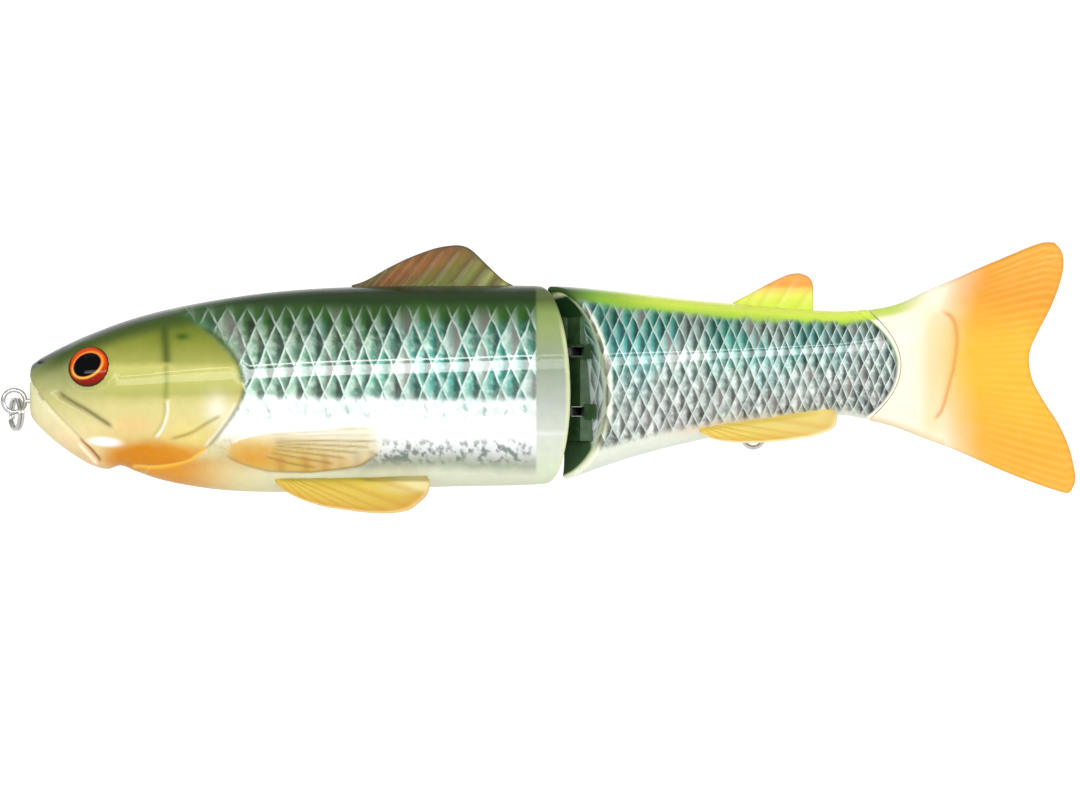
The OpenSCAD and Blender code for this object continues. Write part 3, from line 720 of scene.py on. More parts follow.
def rear_paint(x, z, arc, caps, y, deep):
    n = mottle(x, z, 6, 2)
    fine = mottle(x, z, 2.0, 11)
    back, belly = curve(BACK, x), curve(BELLY, x)
    s = (z - belly) / (back - belly)
    stripe = ramp(back - z, [(0, (226, 236, 112)), (1.8, (204, 228, 72)), (3.4, (158, 200, 70)),
                             (5, (104, 160, 86))])
    stripe = over(stripe, (128, 178, 48), 1 - smooth(136, 156, x))
    stripe = over(stripe, (46, 76, 24), 1 - smooth(131, 140, x))
    panel = ramp(s + (n - 0.5) * 0.1, [
        (0.06, (212, 216, 200)), (0.16, (170, 178, 168)), (0.26, (204, 214, 206)),
        (0.42, (160, 182, 172)), (0.55, (112, 162, 150)), (0.72, (72, 144, 130)),
        (0.86, (70, 142, 104))])
    sea = smooth(0.5, 0.75, value_noise(x, z * 0.4, 10, 4))
    panel = over(panel, (84, 170, 174), 0.4 * sea * smooth(0.25, 0.45, s))
    grey = smooth(0.55, 0.8, value_noise(x, z * 0.3, 7, 14))
    panel = over(panel, (196, 192, 186), 0.5 * grey)
    panel = over(panel, (108, 114, 112), 0.7 * smooth(184, 204, x))
    specks = smooth(0.54, 0.72, fine) * (s < 0.24) * (s > 0.1)
    panel = over(panel, (120, 124, 120), 0.6 * specks)
    tiny = mottle(x + 0.6 * z, 0.8 * z - 0.5 * x, 1.05, 29)
    panel = over(panel, (240, 244, 240), 0.6 * smooth(0.5, 0.64, tiny) * smooth(0.75, 0.3, s))
    panel = over(panel, (70, 100, 94), 0.4 * smooth(0.44, 0.3, tiny))
    low = ramp(s, [(0, (226, 232, 216)), (0.1, (226, 230, 216)), (0.2, (206, 208, 200))])
    low = over(low, (222, 168, 122), 0.6 * band(158, 196, 5, x) * smooth(0.02, 0.12, s))
    col = over(low, stripe, smooth(0.45, 0.55, s))
    share = panel_share(x, z)
    col = over(col, panel, share)
    root = (245, 240, 222)
    beyond = smooth(0, 0.8, x - panel_end(z)) * smooth(3.4, 2.2, z - (back - 5.4))
    col = over(col, root, beyond * smooth(-0.5, 0.5, (back - 2.8) - z))
    # dark line just inside the end of the scale panel: a painted shadow at the panel's edge
    edge = np.exp(-(((x - panel_end(z) + 0.4) / 0.55) ** 2))
    col = over(col, (74, 80, 78), 0.75 * edge * smooth(-4, -1, z) * smooth(20.5, 18, z))
    rim = (caps == 0) * smooth(1.9, 0.7, x - wedge_end(y, z))
    col = over(col, (236, 240, 214), 0.9 * rim * (1 - smooth(20, 25, z)))
    # inside of the joint
    inside = ramp(z, [(-18, (206, 212, 190)), (-12, (226, 232, 226)), (-4, (214, 226, 220)),
                      (6, (206, 226, 216)), (12, (150, 200, 180)), (18, (96, 150, 120)),
                      (22, (60, 104, 66)), (27, (52, 84, 44))])
    core = ramp(z, [(-18, (58, 84, 52)), (-8, (44, 72, 40)), (16, (30, 62, 28)),
                    (22, (20, 52, 22)), (26, (24, 46, 20))])
    inside = over(inside, core, 1 - smooth(6.2, 7.4, y))
    inside = over(inside, core, smooth(19.5, 21.5, z) + smooth(-12.5, -15, z))
    inside = over(inside, (206, 218, 170), 0.9 * (1 - smooth(0.4, 1.0, deep)) * smooth(26, 22, z))
    lip = np.minimum(back - z, 9)
    inside = over(inside, (204, 214, 166), band(1.3, 2.1, 0.35, lip) * (y > 0.6))
    inside = over(inside, stripe, 1 - smooth(1.1, 1.6, lip))
    wall = caps == 1
    col = np.where(wall[:, None], inside, col)
    col = np.where((caps == 2)[:, None], srgb(70, 76, 74), col)
    metal = 0.5 * share * (caps == 0) + 0.4 * wall * smooth(6, 8, y)
    return col, np.stack([metal, 0.34 + 0.12 * n, 0.7 * (caps == 0)], 1)


def rear_lattice(x, z, arc, caps, y, deep):
    p, q = rear_pitch(x)
    u = -(PANEL_LENGTH / PITCH_DROP) * np.log(p / PITCH)
    wall = (caps == 1) * smooth(6.6, 7.6, y) * band(-11, 19, 1.5, z) * smooth(0.7, 1.2, deep)
    mask = panel_share(x, z) * (caps == 0) + wall
    return np.stack([u + arc / q, u - arc / q, mask], 1)


# ---------------------------------------------------------------- soft tail
TAIL_TOP = [(203.7, 21.7), (208, 22.4), (212, 23.6), (219, 26.9), (225, 29.4), (231, 32.1),
            (237, 34.6), (242, 36.7), (245.5, 37.8), (248.2, 37.8)]
TAIL_BOTTOM = [(203.6, -4.5), (208, -5.6), (212, -6.9), (219, -9.6), (225, -11.9), (236, -16.7),
               (244, -19.8), (250.6, -21.9), (252.2, -21.4)]
TAIL_REAR = [(252.2, -21.4), (253.1, -19), (252.9, -16.2), (251.6, -11), (249.2, -5.6),
             (245.6, 0), (243, 4.8), (242.1, 9.2), (242.5, 12.6), (244.4, 16.8),
             (247.2, 22.2), (249.2, 27.3), (250.3, 32), (249.9, 35.6), (248.2, 37.8)]
TAIL_CREASE = [(220.7, 21.9), (223.8, 19.8), (224.9, 15.7), (224.4, 9.5), (223, 3.5),
               (221.2, -2.3), (218.9, -4.9)]


def spaced(points, n, ease=0.0):
    """n points evenly spaced along a smooth line, gathered towards its ends by ease."""
    p = spline(points, 16)
    s = np.concatenate([[0], np.cumsum(np.hypot(*np.diff(p, axis=0).T))])
    k = np.linspace(0, 1, n)
    k = k - ease * np.sin(2 * math.pi * k) / (2 * math.pi)
    return np.stack([np.interp(k * s[-1], s, p[:, c]) for c in range(2)], 1)


def tail_rays(t):
    """1 on each ray of the tail and 0 between, by the share t of its height."""
    return 0.5 + 0.5 * np.cos(2 * math.pi * 31 * (t + 0.008 * np.sin(21 * t)))


def soft_tail():
    cols, rows = 190, 230
    top, bottom = spaced(TAIL_TOP, cols), spaced(TAIL_BOTTOM, cols)
    rear = spaced(TAIL_REAR, rows, 0.5)
    zf = np.interp(np.linspace(0, 1, rows), [0, 1], [bottom[0, 1], top[0, 1]])
    front = np.stack([tail_end(0, zf), zf], 1)
    top[0], bottom[0] = front[-1], front[0]
    u = np.linspace(0, 1, cols)[:, None, None]
    v = np.linspace(0, 1, rows)[None, :, None]
    g = ((1 - v) * bottom[:, None] + v * top[:, None] + (1 - u) * front[None] + u * rear[None]
         - (1 - u) * (1 - v) * front[0] - u * (1 - v) * rear[0]
         - (1 - u) * v * front[-1] - u * v * rear[-1])
    X, Z = g[..., 0], g[..., 1]
    V = np.broadcast_to(v[..., 0], X.shape)
    U = np.broadcast_to(u[..., 0], X.shape)
    span = np.hypot(*(top - bottom).T)[:, None]
    rim = np.minimum(V, 1 - V) * span
    round_edge = np.sqrt(1 - (1 - np.clip(rim / 1.3, 0, 1)) ** 2)
    round_rear = np.sqrt(1 - (1 - np.clip((1 - U) * 26 / 1.0, 0.05, 1)) ** 2)
    blade = (1.15 - 0.55 * smooth(226, 250, X)) * round_edge * round_rear
    s = smooth(213, 229, X)
    half = half_width_at(X, Z) * (1 - s) + blade * s
    rays = tail_rays(V)
    forks = 0.5 + 0.5 * np.cos(2 * math.pi * 62 * V)
    grow = smooth(224, 238, X)
    half = half - 0.035 * grow * rays * round_edge - 0.015 * smooth(238, 248, X) * forks * round_edge
    half = half - 0.32 * groove(TAIL_CREASE, X, Z, 0.6) * round_edge
    half = half + 0.16 * groove(shifted(TAIL_CREASE, -1.6), X, Z, 0.8) * round_edge
    half = np.maximum(half, 0.0)
    half[:, 0] = half[:, -1] = 0
    half[0] = half_width_at(X[0], Z[0])
    side = np.stack([X, half, Z], -1).reshape(-1, 3)
    verts = np.concatenate([side, side * (1, -1, 1)])
    n = cols * rows
    faces = grid_faces(cols, rows) + grid_faces(cols, rows, n, flip=True)
    for c in (0, cols - 1):
        for j in range(rows - 1):
            a = c * rows + j
            faces.append((a, a + 1, n + a + 1, n + a))
    obj = new_object("soft_tail", verts, faces)
    weld(obj)
    co = points_of(obj)
    x, z = co[:, 0], co[:, 2]
    n1 = mottle(x, z, 8, 3)
    blade_col = ramp(z + 5 * (n1 - 0.5) + 0.12 * (x - 236), [
        (-20, (234, 168, 46)), (-10, (236, 166, 36)), (4, (240, 180, 34)),
        (14, (238, 178, 36)), (26, (226, 148, 22)), (36, (228, 160, 44))])
    far = x + 2.2 * np.cos((z - 9) / 9)
    col = over(np.broadcast_to(srgb(247, 238, 216), (len(x), 3)), blade_col,
               0.45 * smooth(218, 224.5, far) + 0.55 * smooth(221, 233, far + 3 * n1))
    col = over(col, (244, 205, 140), 0.6 * np.exp(-(((x - 219) / 3) ** 2)) * band(-8, 22, 3, z))
    back = curve(BACK, x)
    col = over(col, (196, 214, 100), smooth(3.4, 1.6, back - z) * (1 - smooth(209, 220, x)))
    col = over(col, (214, 190, 130), 0.5 * smooth(2.2, 0.4, z - curve(BELLY, x)) * (x < 222))
    t = tail_share(x, z)
    streak = tail_rays(t)
    break_up = value_noise(x * 0.5, t * 60, 6, 17)
    col = over(col, (222, 132, 16), 0.25 * streak ** 3 * smooth(225, 240, x) * break_up)
    col = over(col, (255, 206, 90), 0.2 * (1 - streak) ** 3 * smooth(228, 240, x))
    edge = np.minimum(1, np.interp(z, [p[1] for p in TAIL_REAR], [p[0] for p in TAIL_REAR]) - x)
    col = over(col, (222, 146, 60), 0.6 * smooth(1.2, 0.2, edge * 2.4) * (x > 238))
    col = over(col, (206, 140, 50), 0.7 * groove(TAIL_CREASE, x, z, 0.45))
    set_colour(obj, "paint", np.clip(col, 0, 1))
    return obj


def tail_share(x, z):
    """How far up the tail a side-view point is, 0 at its lower edge and 1 at its top."""
    low = np.interp(x, [p[0] for p in TAIL_BOTTOM], [p[1] for p in TAIL_BOTTOM])
    top = np.interp(x, [p[0] for p in TAIL_TOP], [p[1] for p in TAIL_TOP])
    return np.clip((z - low) / (top - low), 0, 1)


def points_of(obj):
    """Vertices of a mesh in millimetres."""
    co = np.empty(len(obj.data.vertices) * 3)
    obj.data.vertices.foreach_get("co", co)
    return co.reshape(-1, 3) / MM


# ---------------------------------------------------------------- fins
DORSAL = [(80.5, 27.6), (84, 28.8), (89.5, 31.9), (94.5, 34.3), (100, 36.3), (103.5, 37.0),
          (106.5, 37.1), (109, 36.1), (112, 33.3), (115, 30.4), (117, 28.7), (119, 27.6)]
SECOND_DORSAL = [(171.5, 23.5), (176, 25.8), (180, 28), (184, 29.9), (186, 30.4), (188, 30.3),
                 (189.8, 29.3), (190.6, 27.4), (190.6, 24.4), (190.6, 22.0)]
PELVIC = [(62.5, -0.5), (64, -2.6), (68.5, -5.6), (74.5, -7.9), (80, -8.9), (84.5, -9.6),
          (89.7, -9.8), (94, -9), (96.8, -6.8), (98.6, -4.2), (99.2, -0.9), (99, 0)]
ANAL = [(163.2, -0.8), (164.5, -2), (167, -3.6), (172, -5.1), (180, -6.1), (187.7, -6.2),
        (192, -5.7), (195, -4.4), (196.2, -1.5), (195.6, 0)]


def fin(name, margin, root, half_root, half_edge, rays, slant, paint, place=None, side=1,
        fan=1.0):
    """Fin between a root line and a free margin. Rays run from root to margin; slant and fan
    gather their root ends forwards. place turns local points to where the fin sits."""
    cols, rows = 150, 44
    edge = spaced(margin, cols)
    s = np.linspace(0, 1, cols)
    rs = np.clip(s - slant * np.sin(math.pi * s), 0, 1) ** fan
    foot = np.stack([np.interp(rs, [0, 1], [margin[0][0], margin[-1][0]]), np.zeros(cols)], 1)
    foot[:, 1] = root(foot[:, 0])
    foot[0], foot[-1] = edge[0], edge[-1]
    r = np.linspace(0, 1, rows)
    r = r + 0.1 * np.sin(math.pi * r) / math.pi
    grid = foot[:, None] * (1 - r)[None, :, None] + edge[:, None] * r[None, :, None]
    R = np.broadcast_to(r[None], grid.shape[:2])
    S = np.broadcast_to(s[:, None], grid.shape[:2])
    length = np.hypot(*(edge - foot).T)[:, None]
    from_edge = (1 - R) * np.maximum(length, 0.3)
    rounding = np.sqrt(1 - (1 - np.clip(from_edge / 0.7, 0, 1)) ** 2)
    half = (half_root + (half_edge - half_root) * R) * rounding
    ends = np.minimum(S, 1 - S) * 38
    half = half * np.sqrt(1 - (1 - np.clip(ends / 0.8, 0, 1)) ** 2)
    wave = 0.5 + 0.5 * np.cos(2 * math.pi * rays * S)
    fade = smooth(0.06, 0.25, R) * (1 - smooth(0.86, 0.98, R)) * smooth(0, 0.06, S)
    half = half * (1 - 0.24 * wave ** 2 * fade)
    pts = np.stack([grid[..., 0], half, grid[..., 1]], -1).reshape(-1, 3)
    verts = np.concatenate([pts, pts * (1, -1, 1)])
    n = cols * rows
    faces = grid_faces(cols, rows) + grid_faces(cols, rows, n, flip=True)
    for i in range(cols - 1):
        a = i * rows
        faces.append((a, a + rows, n + a + rows, n + a))
    if place:
        verts = place(verts)
    verts[:, 1] *= side
    obj = new_object(name, verts, faces)
    colours = paint(S.ravel(), R.ravel(), grid[..., 0].ravel(), grid[..., 1].ravel(),
                    wave.ravel())
    set_colour(obj, "paint", np.clip(np.concatenate([colours, colours]), 0, 1))
    weld(obj)
    return obj


def leaning(root_y, root_z, lean, pitch=0.0, about=0.0):
    """Puts a paired belly fin from its own plane to the right side, as the part does."""
    cl, sl = math.cos(math.radians(lean)), math.sin(math.radians(lean))
    cp, sp = math.cos(math.radians(pitch)), math.sin(math.radians(pitch))

    def place(v):
        x, y, z = v[:, 0] - about, v[:, 1], v[:, 2]
        x, z = x * cp + z * sp, -x * sp + z * cp
        return np.stack([x + about, y * cl - z * sl + root_y, y * sl + z * cl + root_z], 1)
    return place


def dorsal_paint(s, r, x, z, wave):
    n = mottle(x, z, 5, 8)
    col = ramp(r + 0.15 * (n - 0.5), [(0, (84, 60, 4)), (0.2, (116, 64, 2)),
                                      (0.6, (136, 74, 4)), (0.9, (120, 68, 6))])
    col = over(col, (96, 104, 26), smooth(0.6, 0.9, s + 0.3 * (1 - r)))
    col = over(col, (76, 74, 28), 0.85 * smooth(0.3, 0.12, s - 0.1 * r))
    col = over(col, (84, 58, 10), 0.6 * wave ** 3 * smooth(0.1, 0.3, r))
    col = over(col, (190, 188, 120), 0.5 * (1 - wave) ** 3 * smooth(0.7, 0.9, s))
    return over(col, (74, 60, 24), 0.85 * smooth(0.9, 0.98, r) + 0.8 * smooth(0.1, 0.04, r))


def second_dorsal_paint(s, r, x, z, wave):
    col = ramp(z, [(22.5, (204, 226, 60)), (25, (222, 226, 84)), (26.6, (232, 200, 90)),
                   (27.6, (232, 150, 50)), (29.5, (236, 158, 70))])
    col = over(col, (190, 176, 60), 0.25 * wave ** 3 * smooth(0.1, 0.3, r))
    return over(col, (214, 140, 60), 0.6 * smooth(0.92, 0.98, r))


def pelvic_paint(s, r, x, z, wave):
    col = ramp(r, [(0, (170, 154, 46)), (0.2, (200, 176, 58)), (0.45, (222, 194, 82)),
                   (0.8, (216, 180, 70)), (1, (206, 156, 58))])
    col = over(col, (150, 136, 22), 0.8 * smooth(-1.5, -0.2, z) * smooth(60, 66, x))
    col = over(col, (244, 236, 180), 0.7 * smooth(84, 97, x) * smooth(-5.5, -2.5, z))
    col = over(col, (112, 104, 30), 0.6 * smooth(82, 85, x) * smooth(-1.4, -0.5, z))
    col = over(col, (196, 146, 36), 0.4 * wave ** 3 * smooth(0.1, 0.35, r))
    return over(col, (240, 204, 140), 0.7 * smooth(0.94, 0.99, r))


def anal_paint(s, r, x, z, wave):
    col = ramp(r, [(0, (208, 186, 90)), (0.25, (220, 198, 92)), (0.6, (228, 200, 92)),
                   (0.9, (218, 180, 74)), (1, (234, 212, 146))])
    col = over(col, (232, 214, 140), 0.5 * smooth(0.5, 0.9, s))
    col = over(col, (196, 168, 50), 0.6 * smooth(-1.4, -0.4, z) * smooth(194, 186, x))
    col = over(col, (216, 160, 36), 0.35 * wave ** 3 * smooth(0.1, 0.35, r))
    return over(col, (250, 236, 190), 0.6 * smooth(0.95, 0.99, r))


# ---------------------------------------------------------------- eyes
def eye_dome(name, side):
    """Clear-coated dome with the printed iris and pupil under it."""
    out, back, up = eye_axes(side)
    rings, steps = 46, 96
    prof = [(0.0, 0.02)]
    prof += [(EYE_R - 0.04, 0.02), (EYE_R, 0.12), (EYE_R, 0.42)]
    for k in range(1, rings + 1):
        r = EYE_R * (1 - k / rings)
        prof.append((r, 0.5 + 1.7 * (1 - (r / EYE_R) ** 2) ** 0.8))
    centre = Vector((EYE_AT.x, EYE_AT.y * side, EYE_AT.z))
    obj = lathe(name, prof, steps, centre, out, back, up)
    co = points_of(obj) - np.array(centre)
    a, b = co @ np.array(back), co @ np.array(up)
    r = np.hypot(a, b)
    col = ramp(b, [(-5, (110, 20, 10)), (-3, (150, 26, 8)), (0, (214, 62, 8)),
                   (2, (226, 66, 6)), (4.5, (216, 76, 14))])
    tilt = math.radians(24)
    pa = a * math.cos(tilt) + b * math.sin(tilt)
    pb = -a * math.sin(tilt) + b * math.cos(tilt)
    pupil = np.hypot((pa + 0.1) / 3.45, (pb - 0.15) / 2.75)
    ring = np.exp(-(((pupil - 1.12) / 0.09) ** 2))
    col = over(col, (248, 190, 84), ring * (0.55 + 0.4 * smooth(1, -1, b)))
    col = over(col, (4, 3, 6), smooth(1.05, 0.98, pupil))
    col = over(col, (60, 36, 14), 0.85 * smooth(EYE_R - 0.55, EYE_R - 0.15, r))
    set_colour(obj, "paint", col)
    sharpen(obj, 50)
    return obj


# ---------------------------------------------------------------- split ring
def split_ring():
    """Two turns of round wire side by side, through the line-tie eye."""
    major, rise, twist = 3.65, 0.42, math.radians(22)
    centre = np.array((0.5, 0, -3.1))
    axis = np.array((math.cos(twist), math.sin(twist), 0))
    across = np.array((-math.sin(twist), math.cos(twist), 0))
    path = []
    for k in range(221):
        a = 4 * math.pi * k / 220 + math.pi * 0.62
        turn = k / 220
        step_up = rise * (smooth(0.42, 0.58, turn) * 2 - 1)
        path.append(centre + major * (math.sin(a) * across + math.cos(a) * np.array((0, 0, 1)))
                    + axis * float(step_up))
    return tube("split_ring", path, 0.4, 16)


# ---------------------------------------------------------------- materials
class Graph:
    """Small builder of procedural node materials around one Principled shader."""

    def __init__(self, name):
        self.mat = bpy.data.materials.new(name)
        self.mat.use_nodes = True
        self.tree = self.mat.node_tree
        self.tree.nodes.clear()
        out = self.tree.nodes.new("ShaderNodeOutputMaterial")
        self.bsdf = self.tree.nodes.new("ShaderNodeBsdfPrincipled")
        self.tree.links.new(self.bsdf.outputs[0], out.inputs[0])

    def feed(self, socket, value):
        if isinstance(value, bpy.types.NodeSocket):
            self.tree.links.new(value, socket)
        else:
            socket.default_value = value

    def set(self, **values):
        for k, v in values.items():
            self.feed(self.bsdf.inputs[k.replace("_", " ")], v)

    def math(self, op, *args):
        n = self.tree.nodes.new("ShaderNodeMath")
        n.operation = op
        for i, a in enumerate(args):
            self.feed(n.inputs[i], a)
        return n.outputs[0]

    def bulge(self, v):
        """0 at whole numbers and a small rise between them."""
        wave = self.math("COSINE", self.math("MULTIPLY", v, 2 * math.pi))
        return self.math("MULTIPLY_ADD", wave, -0.012, 0.012)

    def step(self, value, lo, hi, to_lo=0.0, to_hi=1.0):
        n = self.tree.nodes.new("ShaderNodeMapRange")
        n.interpolation_type = "SMOOTHSTEP"
        for i, a in enumerate((value, lo, hi, to_lo, to_hi)):
            self.feed(n.inputs[i], a)
        return n.outputs[0]

    def mix(self, fac, a, b, kind="MIX"):
        n = self.tree.nodes.new("ShaderNodeMix")
        n.data_type, n.blend_type = "RGBA", kind
        self.feed(n.inputs[0], fac)
        self.feed(n.inputs[6], a)
        self.feed(n.inputs[7], b)
        return n.outputs[2]

    def attribute(self, name):
        n = self.tree.nodes.new("ShaderNodeAttribute")
        n.attribute_name = name
        return n

    def split(self, vector):
        n = self.tree.nodes.new("ShaderNodeSeparateXYZ")
        self.feed(n.inputs[0], vector)
        return n.outputs

    def join(self, x, y, z=0.0):
        n = self.tree.nodes.new("ShaderNodeCombineXYZ")
        for i, a in enumerate((x, y, z)):
            self.feed(n.inputs[i], a)
        return n.outputs[0]

    def noise(self, scale, detail=3.0, vector=None):
        n = self.tree.nodes.new("ShaderNodeTexNoise")
        if vector is None:
            c = self.tree.nodes.new("ShaderNodeTexCoord")
            vector = c.outputs["Object"]
        self.feed(n.inputs["Vector"], vector)
        n.inputs["Scale"].default_value = scale
        n.inputs["Detail"].default_value = detail
        return n.outputs[0]

    def random(self, vector):
        n = self.tree.nodes.new("ShaderNodeTexWhiteNoise")
        n.noise_dimensions = "3D"
        self.feed(n.inputs["Vector"], vector)
        return n.outputs

    def bump(self, height, strength, distance):
        n = self.tree.nodes.new("ShaderNodeBump")
        n.inputs["Strength"].default_value = strength
        n.inputs["Distance"].default_value = distance
        self.feed(n.inputs["Height"], height)
        return n.outputs[0]


def skin_material():
    """Printed colours with a scale foil under a clear coat."""
    g = Graph("skin")
    paint = g.attribute("paint").outputs["Color"]
    metal, rough, matt = g.split(g.attribute("finish").outputs["Vector"])
    a, b, mask = g.split(g.attribute("lattice").outputs["Vector"])
    wobble = g.math("MULTIPLY_ADD", g.noise(110, 6), 0.36, -0.18)
    a = g.math("ADD", a, wobble)
    b = g.math("SUBTRACT", b, wobble)
    a, b = g.math("SUBTRACT", a, g.bulge(b)), g.math("SUBTRACT", b, g.bulge(a))
    fa, fb = g.math("FRACT", a), g.math("FRACT", b)
    cell = g.join(g.math("FLOOR", a), g.math("FLOOR", b), 3.0)
    chance = g.random(cell)
    one, other = g.random(g.join(g.math("FLOOR", b), g.math("FLOOR", a), 9.0)), chance
    across = g.math("ADD", fa, fb)
    da = g.math("ABSOLUTE", g.math("SUBTRACT", fa, 0.5))
    db = g.math("ABSOLUTE", g.math("SUBTRACT", fb, 0.5))
    line = g.step(g.math("MAXIMUM", da, db), 0.42, 0.475)
    line = g.math("MULTIPLY", line, g.step(g.noise(330, 3), 0.3, 0.6, 0.3, 1.0))
    # dark crescent at each scale's rear edge and lighter front of it: painted shade and painted
    # light in the base colour; the shade also lowers the bump height
    shade = g.step(across, 0.75, 1.35)
    glow = g.step(across, 0.85, 0.35)
    value = g.math("MULTIPLY_ADD", other[0], 0.5, 0.72)
    flakes = g.math("MULTIPLY_ADD", g.noise(650, 2), 0.9, 0.55)
    value = g.math("MULTIPLY", value, flakes)
    dark = g.math("MULTIPLY", shade, g.math("MULTIPLY_ADD", one[0], 0.28, 0.56))
    value = g.math("MULTIPLY", value, g.math("SUBTRACT", 1.0, dark))
    grey = g.join(value, value, value)
    scale = g.mix(1.0, paint, grey, "MULTIPLY")
    tint = g.mix(g.math("MULTIPLY", g.step(one[0], 0.84, 0.94), 0.35), scale, (0.5, 0.46, 0.43, 1))
    tint = g.mix(g.math("MULTIPLY", glow, 0.3), tint, (0.8, 0.95, 0.88, 1))
    pale = g.mix(0.66, paint, (0.84, 0.98, 0.91, 1))
    scale = g.mix(g.math("MULTIPLY", line, 0.8), tint, pale)
    base = g.mix(mask, paint, scale)
    grain = g.math("MULTIPLY_ADD", g.noise(420, 3), 0.16, 0.92)
    base = g.mix(1.0, base, g.join(grain, grain, grain), "MULTIPLY")
    height = g.math("MULTIPLY", mask, g.math("SUBTRACT", line, g.math("MULTIPLY", shade, 0.6)))
    g.set(Base_Color=base, Metallic=metal,
          Roughness=g.math("MULTIPLY_ADD", g.noise(300), 0.1, rough),
          Normal=g.bump(height, 0.35, 0.00015),
          Coat_Weight=g.math("MULTIPLY_ADD", matt, -0.72, 1.0), Coat_Roughness=0.035,
          Coat_IOR=1.5, Specular_IOR_Level=0.12)
    return g.mat


def soft_material(name, scatter):
    """Soft moulded plastic with a waxy shine."""
    g = Graph(name)
    paint = g.attribute("paint").outputs["Color"]
    base = g.mix(g.math("MULTIPLY", g.noise(420), 0.08), paint, (1.0, 0.88, 0.5, 1))
    g.set(Base_Color=base, Roughness=g.math("MULTIPLY_ADD", g.noise(260), 0.15, 0.35),
          Normal=g.bump(g.noise(1500, 2), 0.12, 0.0001), Coat_Weight=0.14, Coat_Roughness=0.12,
          Specular_IOR_Level=0.15, Subsurface_Weight=scatter, Subsurface_Scale=0.002)
    return g.mat


def eye_material():
    g = Graph("eye")
    paint = g.attribute("paint").outputs["Color"]
    grain = g.math("MULTIPLY_ADD", g.noise(1200, 4), 0.5, 0.75)
    base = g.mix(1.0, paint, g.join(grain, grain, grain), "MULTIPLY")
    g.set(Base_Color=base, Roughness=0.4, Coat_Weight=0.25, Coat_Roughness=0.02,
          Specular_IOR_Level=0.0)
    return g.mat


def metal_material(name, dark, light, rough, scale=600):
    g = Graph(name)
    base = g.mix(g.noise(scale), dark, light)
    g.set(Base_Color=base, Metallic=1.0,
          Roughness=g.math("MULTIPLY_ADD", g.noise(scale * 2), 0.14, rough),
          Normal=g.bump(g.noise(scale * 5, 2), 0.06, 0.00005))
    return g.mat


def plastic_material(name, dark, light, rough, coat=0.0):
    g = Graph(name)
    base = g.mix(g.step(g.noise(500), 0.35, 0.7), dark, light)
    g.set(Base_Color=base, Roughness=g.math("MULTIPLY_ADD", g.noise(700), 0.2, rough),
          Normal=g.bump(g.noise(1800, 2), 0.1, 0.0001), Coat_Weight=coat, Coat_Roughness=0.06)
    return g.mat


def dress(obj, material):
    """Gives a piece, or each slot of a carried-over CAD node, one material."""
    if not obj.data.materials:
        obj.data.materials.append(material)
    for s in obj.material_slots:
        s.material = material
    return obj


def add(obj, body, slot, material, *nodes):
    dress(obj, material)
    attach(obj, body)
    if nodes:
        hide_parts(*nodes)
    return obj


def linear(r, g, b):
    return (*srgb(r, g, b).tolist(), 1.0)


SKIN = skin_material()
SOFT_FIN = soft_material("soft_fin", 0.02)
SOFT_TAIL = soft_material("soft_tail", 0.04)
EYE = eye_material()
STEEL = metal_material("steel", linear(176, 176, 172), linear(226, 226, 222), 0.12)
BALLAST = metal_material("ballast", linear(96, 98, 102), linear(140, 142, 146), 0.45, 300)
BLACK = plastic_material("plate_plastic", linear(14, 18, 14), linear(34, 42, 32), 0.3, 0.5)
GREEN = plastic_material("block_plastic", linear(34, 64, 30), linear(54, 86, 46), 0.45, 0.12)
IVORY = plastic_material("tang_plastic", linear(206, 202, 186), linear(226, 222, 206), 0.4)
IRIS = plastic_material("iris_print", linear(150, 40, 24), linear(190, 70, 30), 0.3, 0.6)


# ---------------------------------------------------------------- build
def box_cutter(x, y, z):
    verts = [(a, b, c) for a in x for b in y for c in z]
    faces = [(0, 1, 3, 2), (4, 6, 7, 5), (0, 4, 5, 1), (2, 3, 7, 6), (0, 2, 6, 4), (1, 5, 7, 3)]
    obj = new_object("cutter", verts, faces, False)
    outward(obj)
    return obj


def fill_cut_faces(obj, colour):
    """Paints the points a cut made, which carry no paint of their own."""
    finish = obj.data.attributes["finish"]
    f = np.empty(len(finish.data) * 3, np.float32)
    finish.data.foreach_get("vector", f)
    f = f.reshape(-1, 3)
    bare = f[:, 1] < 0.01
    f[bare] = (0, 0.4, 1)
    finish.data.foreach_set("vector", f.ravel())
    paint = obj.data.color_attributes["paint"]
    v = np.empty(len(paint.data) * 4, np.float32)
    paint.data.foreach_get("color", v)
    v = v.reshape(-1, 4)
    v[bare] = (*srgb(*colour), 1)
    paint.data.foreach_set("color", v.ravel())


